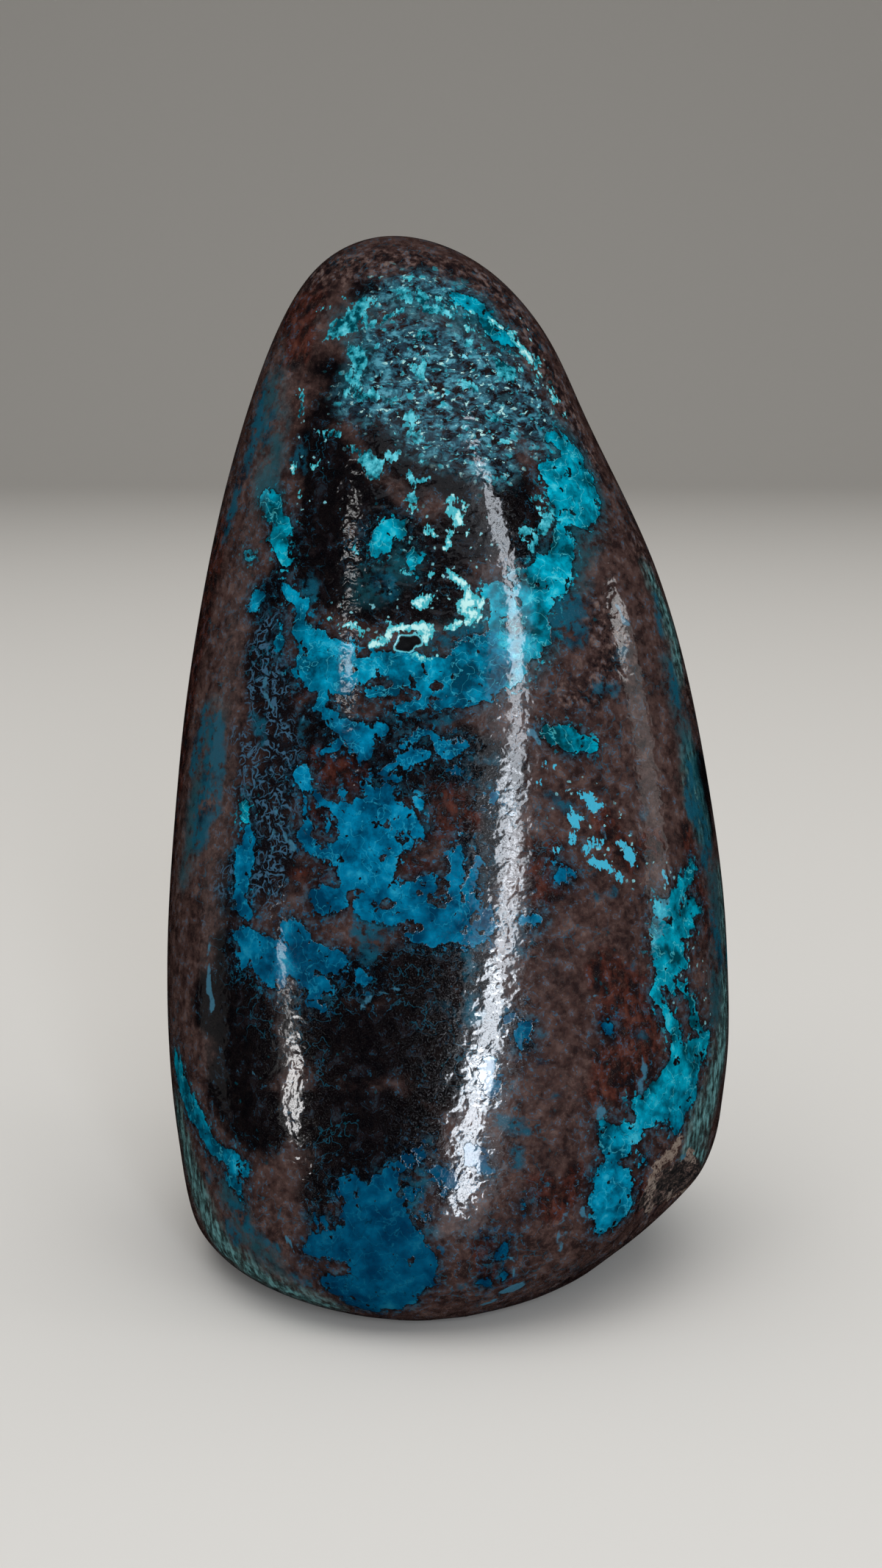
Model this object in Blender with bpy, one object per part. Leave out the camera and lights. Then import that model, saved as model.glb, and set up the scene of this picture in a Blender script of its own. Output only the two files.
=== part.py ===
# A free-standing polished stone of chrysocolla: one tapered, rounded lump that stands on a small
# flat spot, with a rough, broken hollow low on its right. Z is up, and the front faces -Y.

import math

import bmesh
import bpy
import numpy as np
from mathutils import Matrix, Vector, noise

MM = 0.001

# Level cuts through the stone, from its tip down, in millimetres. Each one is the height, then how
# far the stone reaches left and right (X) and forward and back (Y), then its turn about Z in degrees
# and its squareness: 2 is an ellipse, and less is nearer to a diamond. The lowest cut is under the
# flat spot and only steers the curve.
CUTS = (
    (105.0, -4.8, -4.8, 8.5, 8.5, -9.0, 2.0),
    (102.0, -12.6, 4.4, 1.5, 15.0, -9.0, 2.0),
    (96.5, -16.4, 10.1, -1.6, 18.2, -9.0, 2.1),
    (86.5, -20.3, 15.3, -5.0, 21.0, -9.0, 2.15),
    (70.0, -24.6, 23.1, -10.0, 23.0, -8.0, 2.15),
    (50.0, -27.5, 28.1, -16.2, 25.0, -6.0, 2.15),
    (32.0, -28.7, 30.3, -21.9, 26.3, -3.0, 2.15),
    (18.0, -28.2, 30.2, -25.6, 26.4, -3.0, 2.15),
    (10.0, -27.2, 28.1, -27.4, 25.2, -6.0, 2.05),
    (6.0, -26.6, 24.0, -27.4, 23.6, -7.0, 1.95),
    (2.6, -25.4, 20.1, -25.5, 21.2, -3.0, 1.85),
    (0.8, -23.0, 18.4, -23.4, 19.0, 0.0, 1.85),
    (0.0, -20.4, 16.2, -21.9, 16.0, 0.0, 1.85),
    (-2.5, -4.0, -4.0, -3.0, -3.0, 0.0, 1.8),
)

GRID_CUTS = 19  # extra edges across each face of the block that the stone is rounded from
SWELL = 0.2 * MM  # the slight unevenness of a surface that was polished by hand
SWELL_SPACING = 24.0 * MM

# The rough hollow: a point near its middle, half its length along the level, half its height, its
# depth, how many edges are added across each grid edge for it, and the lumps of its floor.
HOLLOW_MIDDLE = Vector((23.2, -16.2, 11.6)) * MM
HOLLOW_HALF_LENGTH = 5.6 * MM
HOLLOW_HALF_HEIGHT = 3.2 * MM
HOLLOW_DEPTH = 1.6 * MM
HOLLOW_NEW_EDGES = 2
HOLLOW_MARGIN = 1.3  # how far the finer mesh goes, as a share of the hollow's size
LUMP_HEIGHT = 0.55 * MM
LUMP_SPACING = 1.7 * MM
RIM_UNEVENNESS = 0.25  # how ragged the hollow's outline is, as a share of its size

STONE_COLOUR = (0.075, 0.115, 0.12, 1.0)  # brown matrix and blue-green veins, seen as one
STONE_ROUGHNESS = 0.16
SHARP_EDGE = math.radians(50)  # edges that turn more than this, as round the flat spot, shade sharp

SMALLEST_SQUARE = 1e-9  # keeps a half width above nothing where the cuts close, in square millimetres
LEVEL_TOLERANCE = 1e-6


def clear_scene():
    for old in list(bpy.data.objects):
        bpy.data.objects.remove(old, do_unlink=True)


def smooth_curve(heights, values):
    """A curve without corners through the values, as a function of the height."""
    slopes = np.gradient(values, heights)

    def value_at(height):
        low = int(np.clip(np.searchsorted(heights, height) - 1, 0, len(heights) - 2))
        span = heights[low + 1] - heights[low]
        t = (height - heights[low]) / span
        start = values[low] * (1 + 2 * t) * (1 - t) ** 2
        end = values[low + 1] * t * t * (3 - 2 * t)
        lean = slopes[low] * t * (1 - t) ** 2 - slopes[low + 1] * t * t * (1 - t)
        return start + end + span * lean

    return value_at


def section_curves():
    """Curves for the middle, the squared half widths, the turn and the squareness of the cuts."""
    heights, left, right, front, back, turn, square = np.array(sorted(CUTS)).T
    return {
        "x": smooth_curve(heights, (left + right) / 2),
        "y": smooth_curve(heights, (front + back) / 2),
        "wide": smooth_curve(heights, ((right - left) / 2) ** 2),
        "deep": smooth_curve(heights, ((back - front) / 2) ** 2),
        "turn": smooth_curve(heights, np.radians(turn)),
        "square": smooth_curve(heights, square),
    }


def point_on_stone(direction, curves):
    """Where the stone's surface lies for a direction on the unit sphere, in millimetres."""
    top, bottom = CUTS[0][0], CUTS[-1][0]
    height = bottom + (top - bottom) * (direction.z + 1) / 2
    at = {name: curve(height) for name, curve in curves.items()}
    wide = math.sqrt(max(at["wide"], SMALLEST_SQUARE))
    deep = math.sqrt(max(at["deep"], SMALLEST_SQUARE))
    around = math.atan2(direction.x, -direction.y)
    across, ahead = math.sin(around), -math.cos(around)
    reach = abs(across / wide) ** at["square"] + abs(ahead / deep) ** at["square"]
    radius = reach ** (-1 / at["square"])
    flat = Matrix.Rotation(at["turn"], 2) @ Vector((across * radius, ahead * radius))
    return Vector((flat.x + at["x"], flat.y + at["y"], height))


def is_upright(edge):
    return abs(edge.verts[0].co.z - edge.verts[1].co.z) > 1


def rounded_block():
    """A block cut into a fine grid, with twice the rows up its sides, rounded to the unit sphere."""
    bm = bmesh.new()
    bmesh.ops.create_cube(bm, size=2.0)
    upright = [edge for edge in bm.edges if is_upright(edge)]
    bmesh.ops.subdivide_edges(bm, edges=upright, cuts=1, use_grid_fill=True)
    bmesh.ops.subdivide_edges(bm, edges=bm.edges[:], cuts=GRID_CUTS, use_grid_fill=True)
    for vert in bm.verts:
        vert.co = Vector([math.tan(part * math.pi / 4) for part in vert.co]).normalized()
    return bm


def shape_stone(bm):
    curves = section_curves()
    for vert in bm.verts:
        vert.co = point_on_stone(vert.co, curves) * MM
    bm.normal_update()
    for vert in bm.verts:
        vert.co += vert.normal * SWELL * noise.noise(vert.co / SWELL_SPACING)


def hollow_frame(bm):
    """The surface point nearest to the hollow's middle, and directions along, up and out of it."""
    bm.normal_update()
    nearest = min(bm.verts, key=lambda vert: (vert.co - HOLLOW_MIDDLE).length)
    out = nearest.normal.copy()
    along = Vector((0, 0, 1)).cross(out).normalized()
    return nearest.co.copy(), along, out.cross(along), out


def share_of_hollow(point, frame):
    """How far a point is from the hollow's middle: 1 on its rim, and endless behind the stone."""
    middle, along, up, out = frame
    offset = point - middle
    if offset.dot(out) < -HOLLOW_HALF_LENGTH:
        return math.inf
    return math.hypot(
        offset.dot(along) / HOLLOW_HALF_LENGTH, offset.dot(up) / HOLLOW_HALF_HEIGHT
    )


def refine_hollow(bm, frame):
    edges = {
        edge
        for face in bm.faces
        if share_of_hollow(face.calc_center_median(), frame) < HOLLOW_MARGIN
        for edge in face.edges
    }
    bmesh.ops.subdivide_edges(bm, edges=list(edges), cuts=HOLLOW_NEW_EDGES, use_grid_fill=True)


def sink_hollow(bm):
    """Pushes the hollow into the surface, deepest in its middle, with a lumpy floor."""
    frame = hollow_frame(bm)
    refine_hollow(bm, frame)
    out = frame[3]
    for vert in bm.verts:
        lumps = noise.noise(vert.co / LUMP_SPACING)
        share = share_of_hollow(vert.co, frame) + RIM_UNEVENNESS * lumps
        if share < 1:
            vert.co -= out * (HOLLOW_DEPTH * (1 - share * share) ** 0.5 + LUMP_HEIGHT * lumps)


def cut_flat_base(bm):
    """Cuts the stone level at height 0 and closes it with one flat face."""
    cut = bmesh.ops.bisect_plane(
        bm, geom=bm.verts[:] + bm.edges[:] + bm.faces[:], dist=LEVEL_TOLERANCE,
        plane_co=(0, 0, 0), plane_no=(0, 0, 1), clear_inner=True,
    )
    rim = [part for part in cut["geom_cut"] if isinstance(part, bmesh.types.BMEdge)]
    bmesh.ops.contextual_create(bm, geom=rim)


def centre_over_origin(bm):
    for axis in (0, 1):
        reach = [vert.co[axis] for vert in bm.verts]
        middle = (min(reach) + max(reach)) / 2
        for vert in bm.verts:
            vert.co[axis] -= middle


def stone_material():
    material = bpy.data.materials.new("polished_chrysocolla")
    material.use_nodes = True
    shader = material.node_tree.nodes["Principled BSDF"]
    shader.inputs["Base Color"].default_value = STONE_COLOUR
    shader.inputs["Roughness"].default_value = STONE_ROUGHNESS
    shader.inputs["Metallic"].default_value = 0.0
    return material


def build_stone():
    bm = rounded_block()
    shape_stone(bm)
    sink_hollow(bm)
    cut_flat_base(bm)
    centre_over_origin(bm)
    bmesh.ops.recalc_face_normals(bm, faces=bm.faces[:])
    mesh = bpy.data.meshes.new("freeform_stone")
    bm.to_mesh(mesh)
    bm.free()
    mesh.shade_smooth()
    mesh.set_sharp_from_angle(angle=SHARP_EDGE)
    mesh.materials.append(stone_material())
    stone = bpy.data.objects.new("freeform_stone", mesh)
    bpy.context.scene.collection.objects.link(stone)
    return stone


clear_scene()
build_stone()
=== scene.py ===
import math
import random

import bmesh
import bpy
import numpy as np
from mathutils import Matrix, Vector, noise
from mathutils.bvhtree import BVHTree


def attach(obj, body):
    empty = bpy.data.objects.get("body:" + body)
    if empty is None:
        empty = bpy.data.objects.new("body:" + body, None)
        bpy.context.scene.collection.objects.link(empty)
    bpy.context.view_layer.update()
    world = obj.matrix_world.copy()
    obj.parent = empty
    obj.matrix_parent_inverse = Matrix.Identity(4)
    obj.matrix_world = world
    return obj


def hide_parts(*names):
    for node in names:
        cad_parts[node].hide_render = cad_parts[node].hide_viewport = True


mm = 0.001
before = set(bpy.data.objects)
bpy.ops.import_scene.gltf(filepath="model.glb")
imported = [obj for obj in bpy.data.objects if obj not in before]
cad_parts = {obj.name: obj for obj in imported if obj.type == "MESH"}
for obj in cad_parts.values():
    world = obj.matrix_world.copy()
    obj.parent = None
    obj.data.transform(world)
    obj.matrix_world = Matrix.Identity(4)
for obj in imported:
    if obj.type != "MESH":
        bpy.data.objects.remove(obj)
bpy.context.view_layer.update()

# The stone leans, so places on it are given as an angle about this leaning line and a height. Angle 0
# faces the front, and angles grow to the right as seen from there. Heights and widths are in mm.
leaningLine = {
    "startX": 0.3,
    "startY": -1.2,
    "leanX": -0.04,
    "leanY": 0.105,
}
mmPerDegree = 0.45  # how far one degree runs over the surface, roughly


def lineAt(height):
    x = leaningLine["startX"] + leaningLine["leanX"] * height
    y = leaningLine["startY"] + leaningLine["leanY"] * height
    return Vector((x, y, height))


# The fine skin of the stone
skin = {
    "gridCuts": 97,  # edges added across each side of the block that becomes the skin
    "middle": (0.0, 4.0, 50.0),  # the block's points are cast from here onto the solid
    "reach": (28.0, 26.0, 52.0),  # about half the stone's sides, so that the points land evenly
    "mergeDistance": 0.001,
    "polishPasses": 26,
    "polishStrength": 0.5,
    "baseHeight": 0.01,  # below this the skin lies on the flat spot
}


def solidSurface():
    bm = bmesh.new()
    bm.from_mesh(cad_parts["freeform_stone"].data)
    bmesh.ops.remove_doubles(bm, verts=bm.verts[:], dist=skin["mergeDistance"] * mm)
    bmesh.ops.scale(bm, vec=(1 / mm, 1 / mm, 1 / mm), verts=bm.verts[:])
    surface = BVHTree.FromBMesh(bm)
    bm.free()
    return surface


def fineBlock():
    bm = bmesh.new()
    bmesh.ops.create_cube(bm, size=2.0)
    upright = [edge for edge in bm.edges if abs(edge.verts[0].co.z - edge.verts[1].co.z) > 1]
    bmesh.ops.subdivide_edges(bm, edges=upright, cuts=1, use_grid_fill=True)
    bmesh.ops.subdivide_edges(bm, edges=bm.edges[:], cuts=skin["gridCuts"], use_grid_fill=True)
    return bm


def wrapSkin(bm, surface):
    middle = Vector(skin["middle"])
    reach = Vector(skin["reach"])
    for vert in bm.verts:
        outward = Vector([math.tan(part * math.pi / 4) for part in vert.co]).normalized()
        vert.co = surface.ray_cast(middle, outward * reach)[0]
    free = [vert for vert in bm.verts if vert.co.z > skin["baseHeight"]]
    for turn in range(skin["polishPasses"]):
        bmesh.ops.smooth_vert(
            bm, verts=free, factor=skin["polishStrength"],
            use_axis_x=True, use_axis_y=True, use_axis_z=True,
        )
    bm.normal_update()


surface = solidSurface()
stoneMesh = fineBlock()
wrapSkin(stoneMesh, surface)
print("skin wrapped,", len(stoneMesh.faces), "faces")

# Marks on the stone, read off it. Each one is a stroke of (angle, height, half width), apart from
# "spots", whose points stand alone.
azureMarks = {
    "upper arm": [
        (-49, 70.0, 0.7), (-46, 69.0, 1.0), (-43.5, 67.5, 1.0), (-41, 66.4, 1.1), (-38, 65, 1.6),
    ],
    "arm by the left edge": [(-57.5, 69.4, 0.7), (-59, 68.2, 0.7)],
    "thin strand up left": [(-49, 66.2, 0.3), (-49, 64.0, 0.4)],
    "cloud body": [
        (-38, 63.5, 1.7), (-34, 63.6, 2.3), (-30, 63.4, 2.4), (-26, 63.0, 2.2), (-22.5, 63, 1.7),
    ],
    "cloud left foot": [(-37.5, 62.0, 1.0), (-34, 61.6, 1.2)],
    "cloud drip": [(-33.3, 60.8, 0.6), (-33, 59.0, 0.5)],
    "cloud lower lip": [(-30, 61.4, 0.9), (-26, 61.1, 0.9)],
    "island left": [(-44, 62.6, 0.6), (-43.5, 61.9, 0.3)],
    "band": [
        (-22, 63.2, 1.6), (-17, 62.8, 1.4), (-12, 62.9, 1.7), (-6, 62.5, 1.9), (0, 62.4, 2.0),
        (6, 62.3, 2.0), (12, 62.6, 2.3), (18, 62.8, 2.4), (21, 63.4, 1.9),
    ],
    "band upper right": [(11, 64.2, 1.0), (16, 64.8, 1.2), (20.5, 65.4, 1.0)],
    "band underside": [(-17, 60.6, 0.6), (-13, 60.8, 0.7), (-10, 61.2, 0.5)],
    "pool one": [(-8.5, 59.2, 0.5), (-6, 59.3, 0.6)],
    "pool two": [(-3.5, 59.7, 0.6), (-1, 59.9, 0.6), (-1, 60.9, 0.5)],
    "pool three": [(3.5, 59.7, 0.6), (8, 59.9, 0.7), (13, 60.3, 0.8), (18, 60.8, 0.8)],
    "star two left": [
        (-31, 58.4, 0.7), (-28, 57.8, 0.8), (-25, 57.0, 1.0), (-22, 56.2, 1.1), (-20, 55.4, 1.1),
    ],
    "star two foot": [(-20.5, 55.6, 1.0), (-20.3, 54.7, 0.6)],
    "star two right": [(-20, 56.4, 0.9), (-17, 57.0, 0.7), (-14, 57.3, 0.4)],
    "star two arm": [(-27, 56.5, 0.6), (-29.3, 55.5, 0.5), (-31, 55.1, 0.35)],
    "bow": [
        (-8.5, 55.7, 0.3), (-4, 56.7, 0.45), (-0.5, 57.1, 0.4), (3, 56.1, 0.6), (5.5, 55.6, 0.8),
        (8, 55.6, 0.8), (10.5, 56.1, 0.4),
    ],
    "hook body": [(-1.5, 55.0, 0.7), (-4, 54.8, 0.8), (-7, 54.5, 0.9), (-9.5, 54.0, 0.5)],
    "hook ring": [
        (-9.5, 54.0, 0.4), (-13, 53.3, 0.45), (-17, 53.2, 0.4), (-18.7, 52.3, 0.45), (-17, 51.3, 0.4),
    ],
    "hook end": [(-15, 51.5, 0.6), (-12.5, 51.5, 0.9)],
    "hook inside": [(-12, 52.7, 0.5), (-8, 52.6, 0.3)],
    "speck a": [(7, 54.1, 0.4), (8.5, 53.5, 0.45)],
    "speck b": [(-25.5, 51.2, 0.35), (-24, 51.1, 0.3)],
    "speck d": [(-4, 50.6, 0.5), (-3.3, 49.9, 0.35)],
    "vein to the star": [
        (-38, 52.9, 0.7), (-36.5, 52.0, 0.9), (-34.5, 51.2, 0.6), (-31.5, 50.9, 0.45), (-29, 50.2, 0.5),
        (-27, 49.6, 0.5), (-25, 49.2, 0.7),
    ],
    "upright vein": [(-35, 50.6, 0.3), (-34.6, 48.5, 0.35), (-34, 47.0, 0.5)],
    "vein inside": [(-30.5, 49.3, 0.3), (-30, 48.3, 0.3), (-28.5, 47.6, 0.2)],
    "cup": [
        (-35.5, 47.0, 0.6), (-33, 46.2, 0.7), (-30, 45.6, 0.8), (-27, 45.4, 0.7), (-24.5, 46.4, 0.8),
    ],
    "star top": [(-22.5, 49.5, 0.9), (-20, 49.8, 1.1), (-17, 50.0, 1.1), (-13.5, 49.9, 1.1)],
    "star heart": [
        (-21, 48.0, 1.8), (-17, 48.0, 1.9), (-19, 46.0, 2.1), (-16, 45.0, 2.0), (-22, 45.5, 1.5),
    ],
    "star right arm": [
        (-13, 49.2, 1.2), (-10, 48.6, 1.0), (-8, 48.2, 1.0), (-5.5, 48.2, 0.8), (-2.5, 48, 0.4),
    ],
    "star upper right": [(-11, 50.2, 0.6), (-8.5, 49.7, 0.7), (-6.5, 49.3, 0.5)],
    "star ring": [(-11.5, 47.2, 0.9), (-9.5, 46.6, 0.7), (-7.5, 47.3, 0.9)],
    "star waist": [(-20, 44.0, 1.9), (-17, 43.0, 1.9), (-14, 43.3, 1.3), (-22.5, 43.4, 1.2)],
    "star side bit": [(-12, 45.3, 0.7), (-10.5, 45.8, 0.6)],
    "star foot": [(-16, 41.2, 1.6), (-12, 41.6, 1.4), (-10, 42.4, 1.2), (-8.5, 41.4, 1.5)],
    "lower body": [
        (-12, 40.6, 1.3), (-8, 41.0, 1.5), (-5, 40.4, 1.8), (-2, 39.8, 2.0), (2, 39.7, 1.9),
        (5, 40.0, 1.4), (5.5, 41.2, 0.8),
    ],
    "lower horn": [(-5, 42.2, 1.2), (-2.5, 43.0, 1.0), (-0.8, 43.6, 0.6)],
    "lower belly": [(-3, 38.6, 1.0), (1, 38.7, 1.2)],
    "column up": [(5, 41.5, 0.8), (4.6, 42.8, 0.8), (5, 44.0, 0.7), (6, 45.0, 0.5), (6.8, 45.8, 0.5)],
    "column thread": [(7, 46.0, 0.25), (8, 47.6, 0.2)],
    "side drops": [(9.5, 44.2, 0.35), (9, 43.3, 0.5), (9.5, 42.4, 0.5)],
    "tail right": [(13, 39.6, 0.9), (11, 39.0, 1.0), (9, 38.2, 0.9), (7, 37.5, 0.5)],
    "tail upper": [(9.5, 41.0, 0.7), (12.5, 41.2, 0.8)],
    "left middle": [(-30, 41.5, 0.9), (-27.5, 41.1, 1.3), (-25, 41.2, 1.2), (-23.5, 42.3, 0.8)],
    "left strand": [
        (-51, 46.6, 0.7), (-51, 44.5, 0.9), (-51, 42.3, 0.8), (-50.3, 40.6, 0.7), (-48.5, 39.4, 0.8),
    ],
    "left pool one": [
        (-49.5, 37.2, 0.7), (-47, 36.6, 1.1), (-44, 36.1, 1.5), (-42, 35.2, 1.7), (-39, 34.0, 1.4),
    ],
    "left pool tail": [(-48.5, 35.4, 0.5), (-48, 34.2, 0.4)],
    "left pool two": [
        (-36.5, 38.4, 1.0), (-34, 37.6, 1.4), (-34, 36.0, 1.8), (-31, 35.8, 1.7), (-27, 35.8, 1.4),
        (-24.5, 35.7, 1.2), (-22.5, 36.0, 0.8),
    ],
    "left pool drips": [(-31.5, 33.8, 1.0), (-29, 33.0, 0.8), (-26.5, 33.4, 0.9)],
    "left pool crumbs": [(-31, 31.9, 0.5), (-27.5, 31.5, 0.4)],
    "link left": [(-40, 36.0, 1.6), (-36, 35.6, 1.6)],
    "brown side drop": [(-18, 34.8, 0.5), (-17, 34.0, 0.45)],
    "triangle one": [(21.6, 40.1, 0.4), (23.0, 39.9, 0.7), (24.4, 40.0, 0.4), (22.7, 39.3, 0.45)],
    "triangle two": [(31.2, 44.7, 0.4), (31.8, 43.8, 0.7), (33.3, 43.7, 0.35), (31.5, 43.0, 0.35)],
    "sea horse": [
        (16, 31.1, 0.4), (17.5, 30.4, 0.45), (19.2, 30.0, 0.8), (18.8, 29.0, 0.9), (18, 28.3, 0.5),
    ],
    "foot knob": [(-21, 15.0, 0.7), (-19.5, 15.3, 0.8), (-17.5, 14.9, 0.9)],
    "foot ridge": [
        (-16, 14.8, 1.1), (-13, 15.6, 1.0), (-11, 16.5, 0.9), (-9.5, 17.2, 0.7), (-8, 18.0, 0.5),
        (-6, 18.8, 0.55), (-4.2, 18.9, 0.45),
    ],
    "foot heart": [
        (-17, 13.0, 1.9), (-13, 13.2, 2.0), (-17, 11.0, 2.3), (-12, 11.0, 2.6), (-9, 10.0, 2.3),
    ],
    "foot left arm": [(-21, 10.0, 1.7), (-25, 9.3, 1.4), (-28.5, 8.9, 1.1), (-30.8, 8.2, 0.5)],
    "foot right": [(-8, 8.6, 2.3), (-5.5, 8.6, 1.4), (-3.6, 9.2, 0.8)],
    "foot lower right": [(-9, 6.8, 1.9), (-6, 6.6, 1.2), (-4.6, 7.2, 0.9)],
    "foot belly": [(-16, 8.0, 2.2), (-12, 7.6, 2.2), (-16, 5.8, 1.8), (-12, 5.6, 1.8)],
    "foot toes": [(-24.5, 5.4, 1.0), (-20, 5.2, 1.4), (-16, 4.4, 1.4), (-13, 3.8, 1.1), (-9, 4.6, 0.8)],
    "foot sole": [(-22, 3.6, 0.8), (-17, 3.0, 0.7)],
    "foot side crumbs": [(-27.5, 11.6, 0.35), (-25.5, 11.8, 0.4)],
    "foot right crumbs": [(-7, 15.1, 0.55), (-5.5, 15.3, 0.3)],
    "foot right drop": [(-4.9, 12.9, 0.55), (-3.8, 12.7, 0.35)],
    "foot flag": [(-2.2, 16.9, 0.7), (0, 16.5, 0.8), (1.2, 15.8, 0.6), (2.4, 17.0, 0.4)],
    "glow patch": [(6, 19.0, 0.8), (7.2, 18.0, 1.0), (8, 17.2, 0.7)],
    "glow patch top": [(10.5, 26.6, 0.7), (10.5, 25.2, 0.8), (10, 24.1, 0.5)],
    "lower squiggle one": [(11.8, 10.8, 0.2), (11.5, 9.8, 0.45), (10.6, 9.0, 0.35), (9.4, 8.4, 0.25)],
    "lower squiggle two": [(11.4, 7.3, 0.4), (11.6, 6.6, 0.5)],
    "lower squiggle three": [(7.4, 6.6, 0.3), (8.0, 5.8, 0.3)],
    "spots": [
        (17.6, 50.9, 0.75), (11.2, 45.4, 0.5), (-1.0, 14.8, 0.4), (16, 13.9, 0.45), (7.6, 11.0, 0.3),
        (36.6, 29.2, 0.55),
    ],
}

tealMarks = {
    "crown green": [(24, 98.3, 0.5), (30, 98.1, 0.6), (36, 97.4, 0.8), (41, 96.7, 0.9)],
    "crown deep": [(38, 95.8, 0.7), (43, 95.0, 1.0), (47, 94.1, 0.6)],
    "shell": [(-8, 76.4, 0.7), (-11.5, 76.2, 1.0), (-15, 75.4, 1.1), (-17, 74.3, 0.9)],
    "nose": [(-4, 74.3, 0.5), (-3, 73.4, 0.7), (-3.8, 72.6, 0.4)],
    "left patch": [(-55, 76.6, 0.6), (-52.5, 75.8, 1.1), (-54.5, 74.9, 0.8)],
    "left patch tail": [(-52, 74.2, 0.7), (-50.5, 72.9, 0.6), (-49, 72.3, 0.4)],
    "left haze patch": [(-60, 78.5, 1.2), (-57.5, 77.4, 1.1)],
    "right lake top": [(52, 84.9, 0.8), (57, 84.5, 0.9), (60, 83.5, 1.2), (58.5, 82.4, 1.3)],
    "right lake": [(50, 81.2, 1.7), (55, 80.8, 2.1), (60, 80.3, 1.4), (56, 79.0, 2.1), (50, 79.2, 1.5)],
    "right lake edge": [(61, 79.2, 0.9), (62, 78.8, 0.6)],
    "right lake lower": [(49, 77.4, 1.3), (55, 77.3, 1.4), (60, 77.6, 0.7)],
    "right lake foot": [(47, 75.5, 1.2), (45, 74.0, 1.4), (44, 72.4, 1.4), (42.5, 71.0, 1.3)],
    "right shore": [(31, 71.9, 0.7), (34, 71.9, 0.9), (37, 71.8, 1.1), (39.5, 72.7, 1.0)],
    "right shore low": [
        (33, 70.0, 1.2), (37, 70.2, 1.3), (34, 68.2, 1.7), (33, 66.4, 1.9), (31, 64.6, 1.3),
    ],
    "under glow": [(25, 70.0, 1.2), (26, 67.5, 1.6), (26, 65.0, 1.8), (26, 62.8, 1.5)],
    "right plume": [(33, 57.0, 0.6), (36, 56.6, 0.9), (39.5, 56.1, 1.0), (42.3, 55.5, 0.9)],
    "small pool": [(21.5, 70.1, 0.6), (23, 69.4, 0.6)],
    "left small strand": [(-53.5, 49.4, 0.4), (-52.5, 48.0, 0.6)],
    "cyan neck": [(66, 42.6, 0.6), (64, 42.2, 0.7), (61.5, 41.4, 0.8), (58.5, 40.6, 0.8)],
    "cyan shoulder": [
        (52.5, 40.2, 0.5), (54, 39.4, 1.2), (58, 39.2, 1.4), (62, 39.0, 1.0), (64.5, 38.4, 0.6),
    ],
    "cyan chest": [(53, 37.6, 1.5), (57.5, 37.4, 1.3), (61.5, 37.4, 0.7)],
    "cyan column": [(52.5, 36.2, 1.4), (55.5, 35.6, 1.5), (53, 34.2, 1.5), (51.6, 33.2, 0.9)],
    "cyan drip one": [(49.6, 32.4, 0.6), (49.6, 31.0, 0.6)],
    "cyan drip two": [(53.6, 32.8, 0.5), (53.7, 31.6, 0.45)],
    "cyan drip four": [(56, 31.8, 0.6), (57.2, 31.2, 0.6)],
    "cyan crumbs": [(59.5, 29.6, 0.6), (59.6, 28.0, 0.6), (61.5, 27.2, 0.5)],
    "cyan arm": [(51.2, 29.8, 0.5), (52.8, 28.8, 0.6), (54.0, 27.4, 0.7), (53.6, 26.0, 0.8)],
    "cyan slope": [
        (63, 25.6, 1.0), (60, 24.9, 1.5), (57, 24.1, 1.9), (54, 23.4, 2.1), (51, 22.5, 2.3),
        (48, 21.6, 2.3), (45.5, 20.9, 1.9), (43.2, 20.2, 1.2),
    ],
    "cyan slope low": [(56, 21.6, 1.9), (53.5, 20.6, 1.7), (52, 19.2, 1.2)],
    "cyan slope knob": [(41, 21.7, 0.7), (43, 21.4, 1.0)],
    "long patch top": [
        (34, 20.2, 0.6), (36, 19.5, 1.1), (38.5, 19.4, 0.9), (36, 18.2, 1.4), (38.5, 18.2, 0.9),
    ],
    "long patch link": [(38.5, 18.6, 0.8), (40.5, 18.5, 0.7), (42, 18.6, 0.7), (42.5, 19.6, 0.7)],
    "long patch left": [
        (32.6, 16.6, 0.6), (32.8, 15.2, 1.0), (32.3, 13.6, 1.3), (32.8, 12, 1.3), (33.2, 10.9, 1),
    ],
    "long patch middle": [(35.5, 17.0, 1.0), (35, 15.0, 1.6), (35.5, 13.0, 1.8), (36, 11.6, 1.5)],
    "long patch right": [(37.8, 15.0, 1.0), (38.4, 13.6, 1.0), (38.3, 12.2, 0.9), (37, 11.0, 0.8)],
    "lower left band": [
        (-71, 22.2, 0.9), (-68, 20.8, 1.1), (-65, 19.6, 1.2), (-62, 18.6, 1.3), (-59, 17.4, 1.2),
        (-56, 16.2, 1.0), (-53.5, 15.6, 0.8), (-51, 15.9, 0.7),
    ],
    "lower left hand": [(-51, 15.9, 0.8), (-48.5, 15.4, 1.0), (-46, 15.0, 0.9), (-44.8, 14.4, 0.7)],
    "lower left finger": [(-50, 13.6, 0.6), (-48, 13.0, 0.7), (-47, 12.3, 0.5)],
    "spots": [(-64.5, 73.0, 0.7), (57.5, 33.8, 0.6), (42.6, 16.4, 0.5)],
}

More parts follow.
